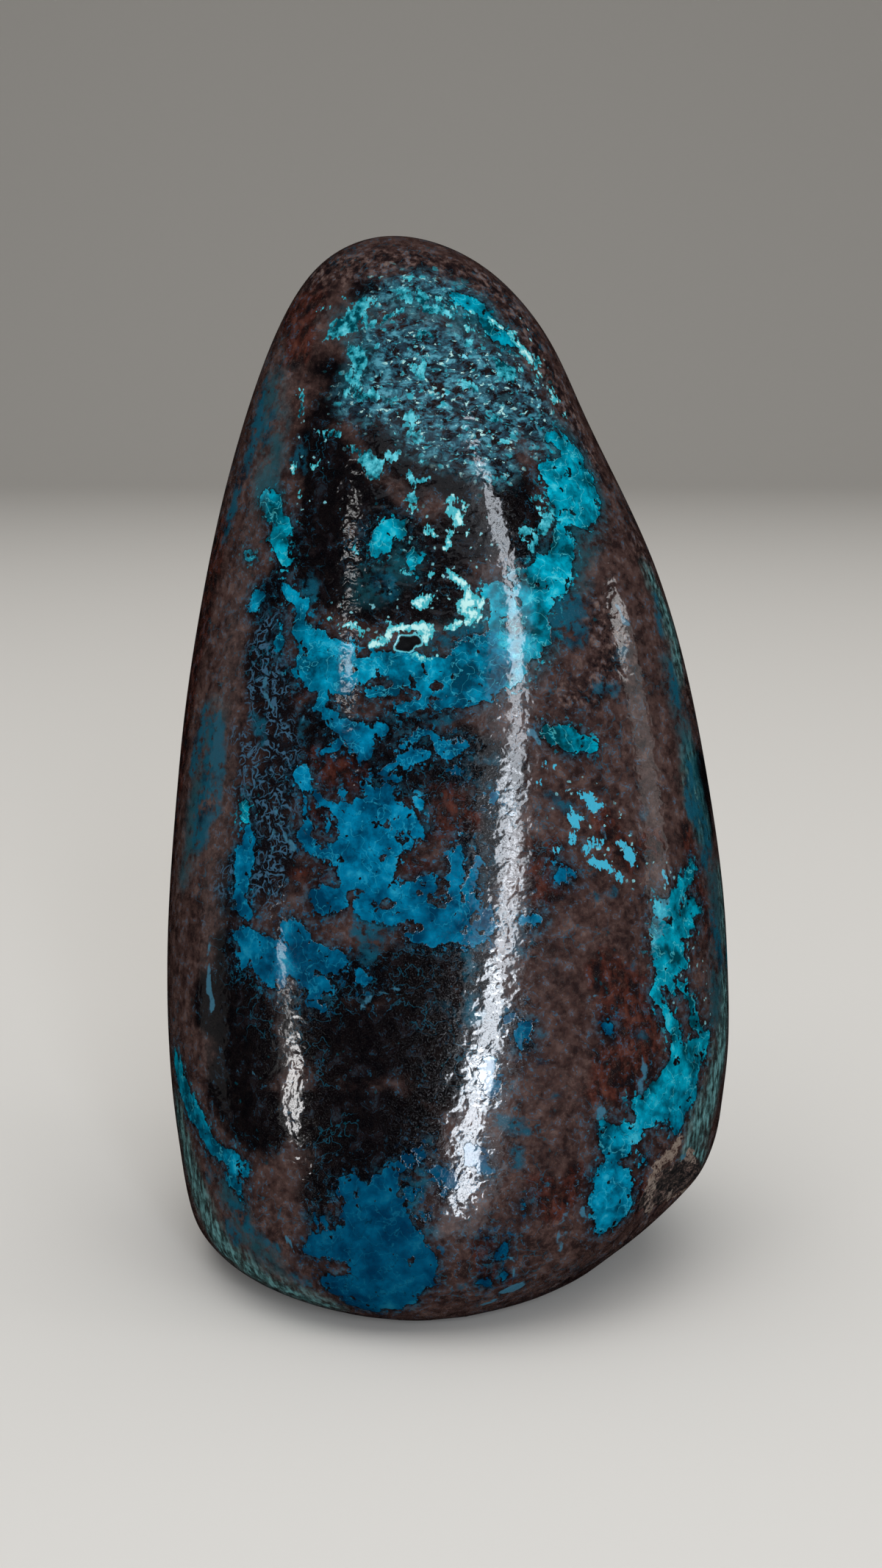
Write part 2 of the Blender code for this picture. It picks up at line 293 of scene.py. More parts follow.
# Light blue-green chips of the upper part
jadeMarks = {
    "tip patch": [(-22.5, 98.1, 0.6), (-29, 97.6, 0.9), (-36, 96.6, 1.0), (-39, 95.6, 0.7)],
    "tip patch lower": [(-44, 95.6, 0.7), (-39, 95.2, 0.9), (-33, 95.6, 0.7), (-46, 94.5, 0.6)],
    "tip tongue": [(-27, 96.0, 0.5), (-20, 95.8, 0.6), (-15, 96.3, 0.4), (-7, 97.2, 0.35)],
    "tip fleck": [(-43, 98.2, 0.35), (-38, 98.6, 0.35)],
    "column one": [(-34.5, 93.2, 0.45), (-29, 93.0, 0.9), (-27, 91.8, 0.8)],
    "column two": [(-32, 90.8, 0.7), (-28, 90.3, 0.8)],
    "crown one": [(-7, 99.4, 0.5), (-4, 98.8, 0.7), (-2, 98.1, 0.4)],
    "crown two": [(4, 99.0, 0.5), (8, 98.4, 0.7)],
    "crown three": [(9, 97.4, 0.7), (16, 97.2, 0.7), (23, 96.7, 0.4)],
    "brow bar": [(-1, 95.0, 0.3), (5, 94.7, 0.6), (10, 94.7, 0.4)],
    "brow right": [(25, 94.6, 0.25), (27.5, 94.0, 0.45)],
    "brow far": [(29, 93.4, 0.35), (34, 93.0, 0.45)],
    "brow side": [(38, 92.1, 0.6), (42, 91.3, 0.8), (44, 90.4, 0.5)],
    "brow edge": [(58, 92.8, 0.4), (58, 91.7, 0.5)],
    "flower": [(-1, 91.7, 0.6), (3, 92.3, 0.5), (3, 91.0, 0.6)],
    "row": [(-35, 89.0, 0.4), (-28, 88.8, 0.5), (-19, 88.9, 0.7), (-13, 88.5, 0.5), (-8, 88.4, 0.35)],
    "row right": [(17, 90.0, 0.35), (22, 89.9, 0.5), (27, 89.4, 0.4)],
    "dot two": [(-2, 87.0, 0.6), (-2, 86.5, 0.5)],
    "dot five": [(-34, 85.1, 0.5), (-32, 84.9, 0.4)],
    "bar": [(-12, 85.3, 0.4), (-8, 85.2, 0.3), (-3, 85.3, 0.4), (3, 85.2, 0.5)],
    "leaf": [(-28.5, 83.8, 0.4), (-25, 83.2, 0.6), (-21.5, 82.8, 1.0), (-19, 81.9, 1.0)],
    "leaf side": [(-14, 83.4, 0.4), (-11, 82.7, 0.6), (-8, 83.5, 0.4)],
    "fork": [(-3, 81.1, 0.4), (0, 80.7, 0.4), (4, 80.7, 0.3)],
    "wedge": [(-6, 79.2, 0.4), (-3.5, 79.2, 0.8)],
    "left streak": [(-55, 89.3, 0.25), (-54, 88.0, 0.35), (-53, 86.8, 0.4)],
    "right ring one": [
        (40.5, 79.2, 0.4), (44, 79.0, 0.5), (45, 78.0, 0.6), (43, 76.8, 0.7), (41, 76.0, 0.6),
    ],
    "right ring one left": [(40.5, 78.0, 0.35), (41.5, 77.2, 0.4)],
    "right ring two": [(35, 76.1, 0.45), (38, 76.0, 0.4), (38.6, 75.0, 0.45), (36.8, 74.2, 0.55)],
    "right ring two left": [(34.6, 75.4, 0.4), (35.4, 74.9, 0.3)],
    "spots": [
        (-23, 86.8, 0.5), (32, 87.1, 0.6), (-39, 85.3, 0.6), (-43.5, 85.2, 0.4), (36, 84.3, 0.6),
        (30.5, 81.2, 0.45), (1, 84.7, 0.4), (3, 82.3, 0.4), (-24, 74.2, 0.45), (-11.5, 67.2, 0.35),
    ],
}

mintMarks = {
    "leaf tip": [(-43.5, 82.2, 0.45), (-42.5, 82.0, 0.35)],
    "left hook": [(-53, 82.0, 0.3), (-52, 81.4, 0.35)],
    "wedge foot": [(-4.5, 78.1, 0.4), (-3, 78.0, 0.45)],
    "wisp": [(3.4, 76.3, 0.35), (4.6, 75.6, 0.3)],
    "snow one": [(10.5, 78.6, 0.4), (14, 79.0, 0.5), (16.5, 78.2, 0.4)],
    "snow two": [(11.5, 77.5, 0.6), (15.5, 77.6, 0.5), (14, 76.7, 0.5)],
    "snow three": [(11, 75.9, 0.3), (10.5, 74.9, 0.4), (9.4, 74.2, 0.3)],
    "snow six": [(9, 72.1, 0.35), (11, 71.6, 0.5), (13, 70.9, 0.5)],
    "pebble": [(-3, 69.6, 0.5), (0, 69.6, 0.75), (3, 69.8, 0.5)],
    "cockerel head": [(15, 70.1, 0.6), (13.5, 69.3, 0.7), (17, 69.5, 0.7), (19, 69.3, 0.6)],
    "cockerel body": [(14, 68.4, 0.8), (17, 68.3, 0.6), (14.5, 67.4, 0.7)],
    "cockerel tail": [(12, 67.4, 0.5), (10, 67.1, 0.45), (7.6, 66.8, 0.35)],
    "crest two": [(-28.2, 67.1, 0.35), (-25.6, 67.0, 0.45), (-23.3, 66.4, 0.4), (-21.6, 65.7, 0.3)],
    "pit rim": [
        (-18.3, 64.9, 0.45), (-15, 65.4, 0.4), (-12, 66.0, 0.4), (-9, 66.5, 0.4), (-5, 66.9, 0.45),
        (-1, 67.1, 0.65), (1.6, 66.7, 0.65), (0, 65.9, 0.4),
    ],
    "pit rim under": [(-4.5, 64.2, 0.2), (0, 64.3, 0.3), (2.4, 64.3, 0.25)],
    "flower heart": [(0, 91.8, 0.35), (3, 92.1, 0.4)],
    "tip flecks": [(-53, 97.1, 0.25), (-48, 97.4, 0.25)],
    "crown fleck four": [(29, 95.6, 0.45), (32, 95.3, 0.35)],
    "brow white": [(51, 94.0, 0.35), (55, 93.0, 0.45)],
    "rim one": [(43, 96.3, 0.5), (45.5, 95.8, 0.4)],
    "rim three": [(52, 93.2, 0.4), (55, 92.4, 0.6)],
    "rim five": [(60.5, 89.7, 0.3), (61, 88.5, 0.55)],
    "crown two": [(23, 97.5, 0.55), (26, 97.6, 0.4)],
    "brow edge white": [(60.5, 92.6, 0.3), (61, 91.8, 0.25)],
    "brow low white": [(46, 92.2, 0.3), (48, 91.2, 0.3)],
    "side flecks": [(54, 90.3, 0.25), (61, 89.0, 0.25)],
    "hand two": [(39, 51.3, 0.4), (42, 50.8, 0.45), (41, 50.0, 0.35), (43.6, 49.8, 0.28)],
    "hand three": [(35.6, 49.8, 0.4), (35.6, 48.5, 0.55), (35, 47.2, 0.4), (34.4, 46.9, 0.4)],
    "hand six": [(31.4, 53.9, 0.35), (33, 53.6, 0.3)],
    "ring low": [(38, 45.9, 0.45), (40.2, 46.5, 0.4), (42.2, 46.6, 0.35)],
    "ring low side": [(39.2, 45.1, 0.5), (41.2, 44.5, 0.45), (42.4, 44.0, 0.35)],
    "ring right": [(46, 46.1, 0.5), (47.5, 45.2, 0.7), (49, 44.2, 0.5)],
    "ring foot": [(44.2, 43.7, 0.4), (44.2, 43.0, 0.35)],
    "dash": [(56.2, 42.0, 0.3), (55.8, 43.2, 0.25)],
    "spots": [
        (-48, 79.2, 0.3), (0.4, 78.1, 0.22), (17.3, 75.6, 0.3), (2, 72.0, 0.35), (-7.5, 72.0, 0.32),
        (-32.3, 67.2, 0.3), (-42, 95.5, 0.45), (-1, 100.2, 0.3), (2.5, 97.8, 0.3), (20, 98.0, 0.3),
        (37, 95.2, 0.35), (47.5, 94.9, 0.4), (49, 94.9, 0.65), (58, 90.8, 0.5), (63, 86.8, 0.3),
        (16, 98.4, 0.45), (33, 97.0, 0.5), (36, 51.5, 0.35), (38.3, 48.8, 0.32), (31.2, 46.0, 0.4),
        (29.5, 52.5, 0.35),
    ],
}

duskMarks = {
    "left strip": [
        (-76, 90.0, 0.6), (-74, 87.0, 1.0), (-72.5, 84.5, 1.2), (-74, 82.0, 1.1), (-76, 79.5, 1.0),
        (-77, 77.0, 0.8), (-78.5, 74.5, 0.5),
    ],
    "left strip side": [(-67, 87.0, 0.5), (-66, 84.5, 0.6)],
    "haze band": [
        (-66, 56.5, 1.2), (-65, 54.0, 1.6), (-65, 51.0, 1.8), (-66, 48.0, 1.9), (-67, 45.4, 1.6),
    ],
    "haze band deep": [(-71, 58.0, 0.5), (-72, 56.0, 0.9), (-73, 53.5, 1.1), (-74, 51.5, 0.9)],
    "right edge one": [(73, 69.3, 0.5), (71.5, 67.2, 0.6), (71, 65.6, 0.4)],
    "right edge two": [(71.5, 62.0, 0.6), (70.5, 60.2, 0.9), (70.5, 58.6, 0.8)],
    "right edge three": [(70, 51.8, 0.8), (69, 50.2, 1.3), (69.5, 48.4, 1.4), (71.5, 46.8, 1.2)],
    "right edge four": [(73.5, 45.6, 0.9), (74.5, 44.0, 0.9)],
    "right edge low": [(71, 37.0, 0.9), (72, 35.4, 1.1), (73, 33.6, 1.1), (74, 32.0, 0.8)],
    "left deep": [(-51, 83.2, 0.8), (-50, 82.0, 0.9)],
    "middle haze": [(-16, 71.0, 1.1), (-13, 70.6, 1.1)],
    "above cloud": [(-42, 69.6, 1.0), (-40, 70.6, 0.9)],
    "grey green shelf": [(3, 65.7, 0.7), (8, 65.8, 0.9), (13, 66.1, 0.9), (17, 66.8, 0.8)],
    "right dull one": [(42, 69.0, 1.6), (47, 68.6, 1.1)],
    "right dull two": [(41, 67.0, 1.7), (45.5, 66.0, 1.1)],
    "right dull four": [(47, 61.0, 0.6), (51, 60.8, 0.6)],
    "right small": [(31.5, 51.3, 0.4), (32.3, 50.4, 0.5), (35, 50.3, 0.45)],
    "left cell": [(-55, 57.8, 0.4), (-52.5, 57.0, 0.7), (-50.3, 56.1, 0.6), (-50, 55.2, 0.4)],
    "below star": [
        (-20, 38.6, 0.5), (-18, 38.2, 0.9), (-16, 38.5, 0.9), (-17, 37.0, 0.9), (-14, 37.6, 0.5),
    ],
    "below star top": [(-19, 39.8, 0.6), (-15, 39.6, 0.7), (-11, 39.2, 0.7)],
    "blue under glow one": [(7.6, 36.4, 0.4), (7.6, 34.9, 0.5)],
    "blue under glow two": [(7.8, 32.6, 0.9), (8, 31.0, 0.8)],
    "blue by glow": [(20, 38.4, 0.6), (19, 37.2, 0.7)],
    "thread up right": [(13, 43.8, 0.25), (15, 45.2, 0.2)],
    "night veins": [(-1, 31.8, 0.25), (3, 32.1, 0.25)],
    "dim three": [(12, 21.5, 0.7), (15, 21.1, 0.7), (17.5, 20.8, 0.5)],
    "dim four": [(15.6, 19.1, 0.5), (15.6, 17.6, 0.5)],
    "dim ten": [(43.2, 28.4, 0.5), (44.6, 28.0, 0.5)],
    "foot haze": [(-4, 11.5, 0.4), (-2, 11.2, 0.45)],
    "foot speckle": [(-8, 16.3, 0.8), (-6.5, 14.5, 0.8), (-4.5, 17, 0.6)],
    "sole haze": [(2.5, 6.0, 0.35), (4.2, 6.2, 0.3)],
    "sole left": [(-34, 5.9, 0.6), (-31, 5.0, 0.7)],
    "lower left pool": [(-49.5, 10.9, 0.7), (-47, 10.3, 0.9), (-45, 9.4, 0.9), (-44.3, 8.6, 0.5)],
    "lower left pool two": [(-53, 8.4, 0.8), (-50, 7.6, 0.9)],
    "lower left dot": [(-58, 13.1, 0.4), (-57, 12.2, 0.4)],
    "lower left dots": [(-43, 8.8, 0.3), (-41, 8.5, 0.3), (-37, 8.1, 0.4)],
    "right edge grey": [(72, 43.8, 0.8), (70.5, 42.4, 0.7)],
    "bow echo": [(2, 57.9, 0.25), (7, 58.0, 0.25), (11.5, 58.6, 0.25)],
    "right lace one": [(12, 55.1, 0.3), (16, 54.3, 0.35), (19.5, 54.9, 0.25)],
    "right lace two": [(13, 52.6, 0.4), (16.5, 52.2, 0.35)],
    "centre lace": [(-2, 49.6, 0.35), (-2, 48.3, 0.35)],
    "cloud echo": [(-38, 57.5, 0.35), (-38, 56.2, 0.35)],
    "spots": [
        (56, 64.2, 0.7), (42, 58.6, 0.35), (53, 48.6, 0.6), (22.5, 29.3, 0.45), (21.5, 26.6, 0.5),
        (24.5, 23.7, 0.5), (22, 27.0, 0.45), (38.5, 41.4, 0.4), (42, 41.7, 0.4), (44.6, 34.9, 0.4),
    ],
}

paleMarks = {
    "foot grey": [(12, 4.3, 0.6), (14.5, 4.5, 0.7), (16.8, 5.1, 0.5)],
    "foot blue": [(8, 3.0, 0.35), (11, 3.4, 0.35)],
    "curls one": [(13, 9.2, 0.22), (14.4, 8.3, 0.25), (14.2, 7.0, 0.25), (13.6, 6.2, 0.25)],
    "curls two": [(18.5, 6.6, 0.2), (20, 7.3, 0.25)],
    "reeds one": [(24.6, 13.6, 0.3), (24, 12.2, 0.25), (23, 11.0, 0.25), (22.4, 9.8, 0.3)],
    "reeds two": [(24.4, 11.4, 0.2), (23.8, 10.0, 0.2), (23, 9.0, 0.25)],
    "reeds three": [(28, 12.8, 0.3), (28.4, 11.8, 0.3)],
    "stalk one": [(33, 22.0, 0.3), (33.3, 20.8, 0.4), (34, 19.6, 0.25)],
    "stalk two": [(30.5, 18.4, 0.35), (31, 17.8, 0.3)],
    "stalk three": [(44, 26.4, 0.25), (44.6, 25.2, 0.4), (43.4, 23.8, 0.25), (42, 22.6, 0.25)],
    "stalk four": [(32.6, 26.8, 0.2), (32, 25.2, 0.25)],
    "brown vein": [
        (-18, 31.9, 0.3), (-16.6, 32.4, 0.25), (-15, 33.0, 0.25), (-12, 33.3, 0.28), (-9, 33.7, 0.28),
    ],
    "brown vein end": [(-9, 33.7, 0.25), (-6, 34.0, 0.22), (-3, 34.4, 0.18)],
    "low left vein": [(-47.5, 24.1, 0.2), (-45, 24.0, 0.22), (-42, 24.2, 0.16), (-39.5, 24.2, 0.2)],
    "low left vein two": [(-52, 21.6, 0.18), (-50, 22.3, 0.22), (-48.4, 22.9, 0.18)],
    "left grey streak": [(-58, 35.5, 0.35), (-58.6, 34.0, 0.35), (-57.2, 31.6, 0.35), (-56, 29.5, 0.35)],
    "left thread one": [(-43, 47.7, 0.16), (-43, 45.0, 0.2)],
    "left thread two": [(-45, 49.6, 0.2), (-42, 48.0, 0.22), (-40.5, 46.8, 0.22), (-38, 46.0, 0.25)],
    "left thread three": [
        (-50.5, 59.8, 0.25), (-51.2, 61.2, 0.25), (-49.5, 62.2, 0.2), (-47.6, 62.0, 0.2),
    ],
    "left thread four": [(-50, 59.4, 0.2), (-46.5, 58.6, 0.2), (-43.4, 58.0, 0.2)],
    "left thread five": [(-46.5, 66.4, 0.2), (-45.5, 68, 0.18)],
    "left thread six": [(-38, 57.7, 0.2), (-35.6, 58.6, 0.16)],
    "sole blob": [(-32.6, 7.3, 0.6), (-31.2, 6.8, 0.4)],
    "sole thread": [(-35, 9.5, 0.25), (-34.5, 8.5, 0.3)],
    "centre scratch": [(-10, 54.6, 0.15), (-10, 53.6, 0.15)],
    "centre scratch two": [(-10, 50.8, 0.15), (-11.6, 50.2, 0.18)],
    "pale triangle": [(28.4, 56.8, 0.3), (29.4, 56.9, 0.35), (29.8, 56.2, 0.25)],
    "foot light": [(55, 14.9, 0.45), (57, 14.7, 0.4)],
    "right arc": [(46, 60.6, 0.14), (46.5, 59.8, 0.14)],
    "right scratch": [(43.5, 48.0, 0.2), (43.3, 46.9, 0.2)],
    "right dots five": [(57, 68.2, 0.3), (58.6, 66.6, 0.3)],
    "bead line": [(30, 32.3, 0.15), (33, 32.4, 0.18), (36, 32.6, 0.15)],
    "spots": [
        (29.6, 10.2, 0.35), (46, 55.7, 0.22), (47.6, 55.6, 0.18), (49, 49.6, 0.22), (49.6, 47.2, 0.25),
    ],
}

# Dark or brown islands that cut through the blue and teal
islandMarks = {
    "tip hole": [(-30, 95.2, 0.5), (-25, 94.4, 0.9), (-22, 95.0, 0.5)],
    "tip curve": [(-37.5, 94.0, 0.3), (-36.5, 92.6, 0.3)],
    "eye": [(-22, 65.0, 0.6), (-21, 64.3, 0.7)],
    "in the band": [(-19, 61.4, 0.6), (-15, 61.7, 0.45), (-12.5, 61.6, 0.4)],
    "under the band": [(-8, 60.9, 0.4), (-4, 60.8, 0.5)],
    "dot under the band": [(2.4, 61.2, 0.5), (3.6, 61.5, 0.45)],
    "in the hook": [(-12, 55.6, 0.6), (-8, 55.5, 0.5)],
    "in the right ring": [(34.8, 73.3, 0.75), (36.4, 74.0, 0.4), (38, 74.6, 0.35)],
    "star notch": [(-11, 49.2, 0.25), (-13, 48.6, 0.25)],
    "left of the upper arm": [(-47.5, 68.5, 0.5), (-46, 66.8, 0.6)],
    "brown in the cloud": [(-38.5, 67.4, 0.8), (-36.5, 67.2, 0.8)],
    "in the star waist": [(-21, 41.8, 0.65), (-18.6, 42.1, 0.45)],
    "over the horn": [(-8, 44.1, 0.5), (-5, 43.3, 0.3)],
    "by the column": [(2, 43.5, 0.7), (3, 42.4, 0.5)],
    "lower body one": [(-0.6, 41.7, 0.45), (1, 41.1, 0.4)],
    "lower body three": [(-7.5, 39.4, 0.5), (-4.5, 39.0, 0.4)],
    "left pools": [(-29, 38.9, 0.7), (-26, 38.6, 1.0), (-24, 38.5, 0.9)],
    "foot one": [(-26, 7.3, 0.5), (-23, 7.4, 0.55), (-20.8, 7.4, 0.45)],
    "long patch": [(44, 18.4, 0.7), (47.5, 18.6, 0.8), (45.4, 17.2, 0.8)],
    "long patch dark": [(37.5, 16.7, 0.5), (39.5, 16.8, 0.4)],
    "cyan column": [(59.6, 40.0, 0.35), (58.6, 38.6, 0.35)],
    "cyan drips": [(53.5, 30.6, 0.5), (57.5, 28.8, 0.5)],
    "spots": [
        (-14, 52.4, 0.5), (-9.6, 47.9, 0.4), (-13.8, 45.5, 0.5), (-27.2, 45.0, 0.4), (-12.6, 41.0, 0.6),
        (-3, 42.2, 0.3), (-24, 6.7, 0.35), (-14.5, 4.9, 0.4), (-7.5, 8.6, 0.35),
    ],
}

blackMarks = {
    "upper dark": [(-34, 99.2, 1.2), (-24, 99.4, 1.4), (-14, 99.8, 1.2)],
    "brow dark left": [(-46, 91.5, 1.2), (-38, 91.0, 1.6), (-36, 88.0, 1.8), (-44, 87.0, 1.8)],
    "side column": [(-44, 84.0, 2.4), (-38, 82.5, 3.0), (-37, 79.5, 3.2), (-38, 76.0, 3.0)],
    "side column low": [(-43, 74.0, 3.0), (-38, 72.5, 3.0), (-36, 70.0, 2.2)],
    "side column edge": [(-52, 72.0, 1.2), (-54, 69.0, 1.6), (-54, 65.5, 1.8), (-55, 62.0, 1.8)],
    "vein field one": [(-50, 60.5, 2.6), (-46, 57.5, 2.8), (-42, 54.5, 2.2), (-46, 50.0, 2.6)],
    "vein field two": [(-44, 47.0, 2.6), (-43, 43.5, 2.8), (-54, 43.5, 1.6), (-54, 39.5, 1.8)],
    "left gulf": [
        (-54, 36.0, 1.8), (-51, 32.5, 2.6), (-46, 31.0, 2.8), (-42, 30.0, 2.2), (-49, 28, 1.8),
    ],
    "under pools": [(-36, 31.0, 1.2), (-30, 29.5, 1.8), (-25, 28.0, 2.0), (-24, 31.0, 1.6)],
    "trough": [(-25, 25.0, 1.6), (-25.5, 21.0, 1.4), (-25.5, 17.5, 1.2)],
    "trough right": [(-7, 29.5, 2.0), (-4, 31.5, 2.6), (-1, 30.0, 2.6), (1, 33.5, 1.8), (-3, 27.5, 1.8)],
    "trough right low": [(-6.5, 24.0, 1.0), (-4.5, 21.0, 1.0), (-3, 19.8, 0.8)],
    "night over the cloud": [(-31, 69.5, 1.4), (-25, 69.0, 1.8), (-19, 68.4, 2.0), (-12, 68.6, 1.6)],
    "night centre": [(-12, 57.9, 1.4), (-6, 57.8, 1.4), (0, 58.5, 1.0), (6, 58.8, 0.8)],
    "nose hole": [(1.5, 74.3, 1.0), (3.6, 73.6, 1.2), (2.0, 72.9, 1.0), (0.2, 71.6, 0.9)],
    "foot speckle": [(-8.5, 15.6, 0.6), (-6.8, 16.6, 0.7), (-8.6, 13.6, 0.5)],
    "foot side": [(-28, 12.0, 0.8), (-23.5, 12.2, 0.8)],
    "right crack": [(35.5, 78.6, 0.7), (34, 77.0, 0.8), (32.5, 75.0, 0.9)],
    "under the right ring": [(40, 55.0, 0.5), (36.5, 55.2, 0.4)],
    "deep left": [
        (-56, 30.0, 3.5), (-50, 30.0, 4.0), (-44, 26.0, 4.0), (-50, 22.0, 3.5), (-40, 20.0, 3.5),
    ],
    "deep middle": [
        (-30, 30.0, 3.5), (-20, 28.0, 4.0), (-10, 29.0, 4.0), (-2, 31.0, 4.0), (0, 26.0, 3.5),
    ],
    "deep middle top": [
        (-24, 34.0, 2.5), (-10, 35.0, 3.0), (2, 36.0, 3.0), (9, 35.0, 2.0), (10, 29.0, 2.0),
    ],
    "deep middle low": [(-28, 21.0, 3.5), (-18, 21.0, 4.0), (-8, 21.0, 3.5), (-27, 15.0, 2.5)],
    "deep belt": [
        (-34, 57.0, 3.0), (-22, 55.0, 3.0), (-10, 54.0, 3.5), (0, 54.0, 3.5), (10, 55.0, 3.0),
        (20, 54.0, 2.5), (14, 49.0, 2.5), (10, 44.0, 2.5),
    ],
    "deep upper": [
        (-30, 80.0, 3.0), (-16, 77.0, 2.5), (-2, 75.0, 2.0), (10, 73.0, 2.5), (18, 78.0, 1.8),
    ],
    "deep upper low": [
        (-16, 70.0, 2.8), (-4, 69.0, 2.6), (8, 69.5, 2.6), (-28, 72.0, 3.5), (30, 76.0, 2.5),
    ],
    "deep brow": [(-20, 90.0, 3.0), (-10, 84.0, 3.0), (10, 82.0, 3.0), (34, 80.0, 2.5), (36, 74.0, 2.0)],
}

rustMarks = {
    "tip left": [(-72, 97.0, 2.4), (-62, 99.0, 1.8), (-60, 93.0, 1.8)],
    "above star one": [(-33, 54.0, 1.6), (-28, 53.6, 2.0), (-23, 52.6, 1.8), (-30, 51.8, 0.9)],
    "inside the cup": [(-32, 49.2, 1.6), (-29, 48.2, 1.6), (-26.5, 49.0, 0.9)],
    "left of the star": [(-35, 43.8, 1.0), (-31, 43.4, 1.2), (-27, 43.6, 0.9), (-24, 43.1, 0.6)],
    "centre": [(1, 51.2, 1.0), (6, 51.0, 1.2), (2, 48.6, 1.6), (6, 48.8, 1.8), (10, 49.4, 1.2)],
    "orange island": [(-6.2, 45.0, 1.0), (-3, 44.7, 0.9)],
    "right field": [(38, 34.5, 2.0), (42, 33.0, 2.4), (40, 30.0, 2.4), (46, 29.5, 2.2), (42, 26.0, 2.6)],
    "right field low": [(36, 26.0, 2.0), (38, 23.5, 1.8), (33, 24.0, 1.4)],
    "right field top": [(43, 48.8, 1.2), (48, 44.4, 1.2), (54, 46.0, 1.4)],
    "foot": [(7.5, 9.6, 1.2), (8, 8.2, 1.0), (13, 6.0, 0.9)],
    "foot two": [(20, 15.5, 1.4), (22, 13.0, 1.2), (27, 16.0, 1.3)],
    "right middle": [(28, 45.5, 1.8), (27, 42.6, 1.8)],
    "near hollow": [(42, 14.0, 1.2), (43.5, 12.0, 1.2), (47.0, 10.5, 1.0)],
    "left edge": [(-88, 30.0, 3.0), (-86, 45.0, 2.5), (-84, 60.0, 2.5), (-82, 75.0, 2.0)],
    "edge brown": [(66, 45.0, 0.9), (64.5, 46.5, 0.8), (68, 35.5, 0.8)],
    "spots": [(-41, 60.5, 0.8)],
}

# Zones are soft: they steer how much of a fine pattern shows, with no edge of their own.
mottleZone = {
    "brow": [
        (-20, 93.4, 2.4), (-6, 92.8, 3.4), (6, 92.6, 3.8), (18, 92.0, 3.6), (32, 91.0, 3.2),
        (44, 88.6, 3.0), (50, 85.0, 1.8),
    ],
    "forehead": [(-26, 89.0, 2.0), (-12, 88.8, 2.6), (0, 88.0, 3.0), (14, 87.4, 3.6), (30, 86.4, 3.6)],
    "lower": [(0, 84.6, 1.0), (10, 84.2, 1.4), (20, 83.4, 1.6), (30, 82.4, 1.6)],
    "crown": [(-14, 98.6, 1.2), (-2, 99.2, 1.6), (10, 98.8, 1.8), (24, 98.2, 1.8), (36, 96.6, 1.6)],
}

laceZone = {
    "left field": [
        (-53, 66.0, 2.0), (-51, 61.0, 2.8), (-48, 56.5, 3.0), (-45, 51.5, 2.8), (-45, 46.5, 3.0),
        (-46, 42.0, 3.0), (-56, 42.0, 1.6),
    ],
    "left pale cells": [(-54, 55.5, 2.4), (-50, 53.0, 2.4), (-54, 51.0, 1.8)],
}

speckZone = {
    "middle": [(-2, 71.0, 3.0), (6, 74.0, 4.0), (14, 75.0, 3.6), (4, 69.0, 3.0)],
    "middle left": [(-26, 67.6, 1.6), (-16, 68.0, 2.0)],
    "upper right": [(46, 93.0, 2.4), (54, 91.0, 2.6), (58, 95.0, 1.8)],
    "left column": [(-44, 84.5, 2.4), (-40, 79.0, 2.4)],
    "right": [(38, 50.0, 2.6), (46, 46.0, 2.6), (56, 42.0, 1.6)],
    "right low": [(60, 33.0, 2.4), (61, 29.0, 2.6), (58, 30.0, 2.4)],
}

# Muted teal that shows through a haze
veilZone = {
    "right lake": [
        (57, 84.0, 2.2), (58, 79.5, 3.0), (51, 76.0, 3.0), (44, 72.0, 2.8), (37, 69.0, 3.0),
        (32, 66.5, 3.0), (27, 64.0, 2.4),
    ],
    "left cheek": [(-70, 90.0, 1.6), (-64, 85.0, 1.8), (-62, 79.0, 2.0)],
    "left side": [(-68, 57.0, 1.8), (-68, 51.0, 2.2), (-70, 45.0, 2.0), (-72, 41.0, 1.2)],
    "tip": [(-42, 96.0, 1.4), (-32, 96.4, 1.6), (-27, 93.0, 1.2), (-30, 90.0, 1.2)],
    "crown": [(-6, 98.6, 1.0), (8, 97.8, 1.2), (24, 97.0, 1.2), (38, 96.0, 1.6), (44, 94.4, 1.4)],
    "middle": [(-20, 71.0, 1.8), (-14, 71.5, 1.6), (-6, 73.4, 1.2)],
    "shelf": [(2, 65.8, 0.9), (9, 66.2, 1.0), (16, 67.0, 1.2), (22, 68.0, 1.6)],
    "left pool": [(-52, 12.0, 1.4), (-48, 10.0, 1.8), (-44, 7.6, 1.6), (-38, 6.4, 1.0)],
    "right edge": [(70, 62.0, 1.4), (72, 50.0, 1.6), (74, 40.0, 1.8), (72, 34.0, 1.8), (68, 28.0, 1.8)],
}

crustZone = {
    "tip": [(-70, 101.0, 2.0), (-35, 102.0, 2.0), (0, 102.0, 2.0), (35, 101.0, 2.2), (60, 99.0, 2.0)],
    "tip back": [
        (90, 100.0, 2.0), (140, 101.0, 2.0), (180, 101.0, 2.0), (230, 101.0, 2.0), (270, 100.0, 2.0),
    ],
    "right brow": [(60, 98.0, 1.8), (60, 93.0, 2.0), (66, 88.0, 1.8), (68, 82.0, 1.4)],
    "right shoulder": [(50, 68.0, 2.0), (54, 64.0, 2.4), (47, 61.0, 1.6), (40, 60.0, 1.2)],
    "right edge": [(74, 74.0, 1.6), (78, 66.0, 1.8), (80, 58.0, 1.6)],
    "sole right": [(46, 6.0, 1.4), (36, 4.0, 1.2), (26, 2.6, 1.0), (56, 8.0, 1.2)],
}

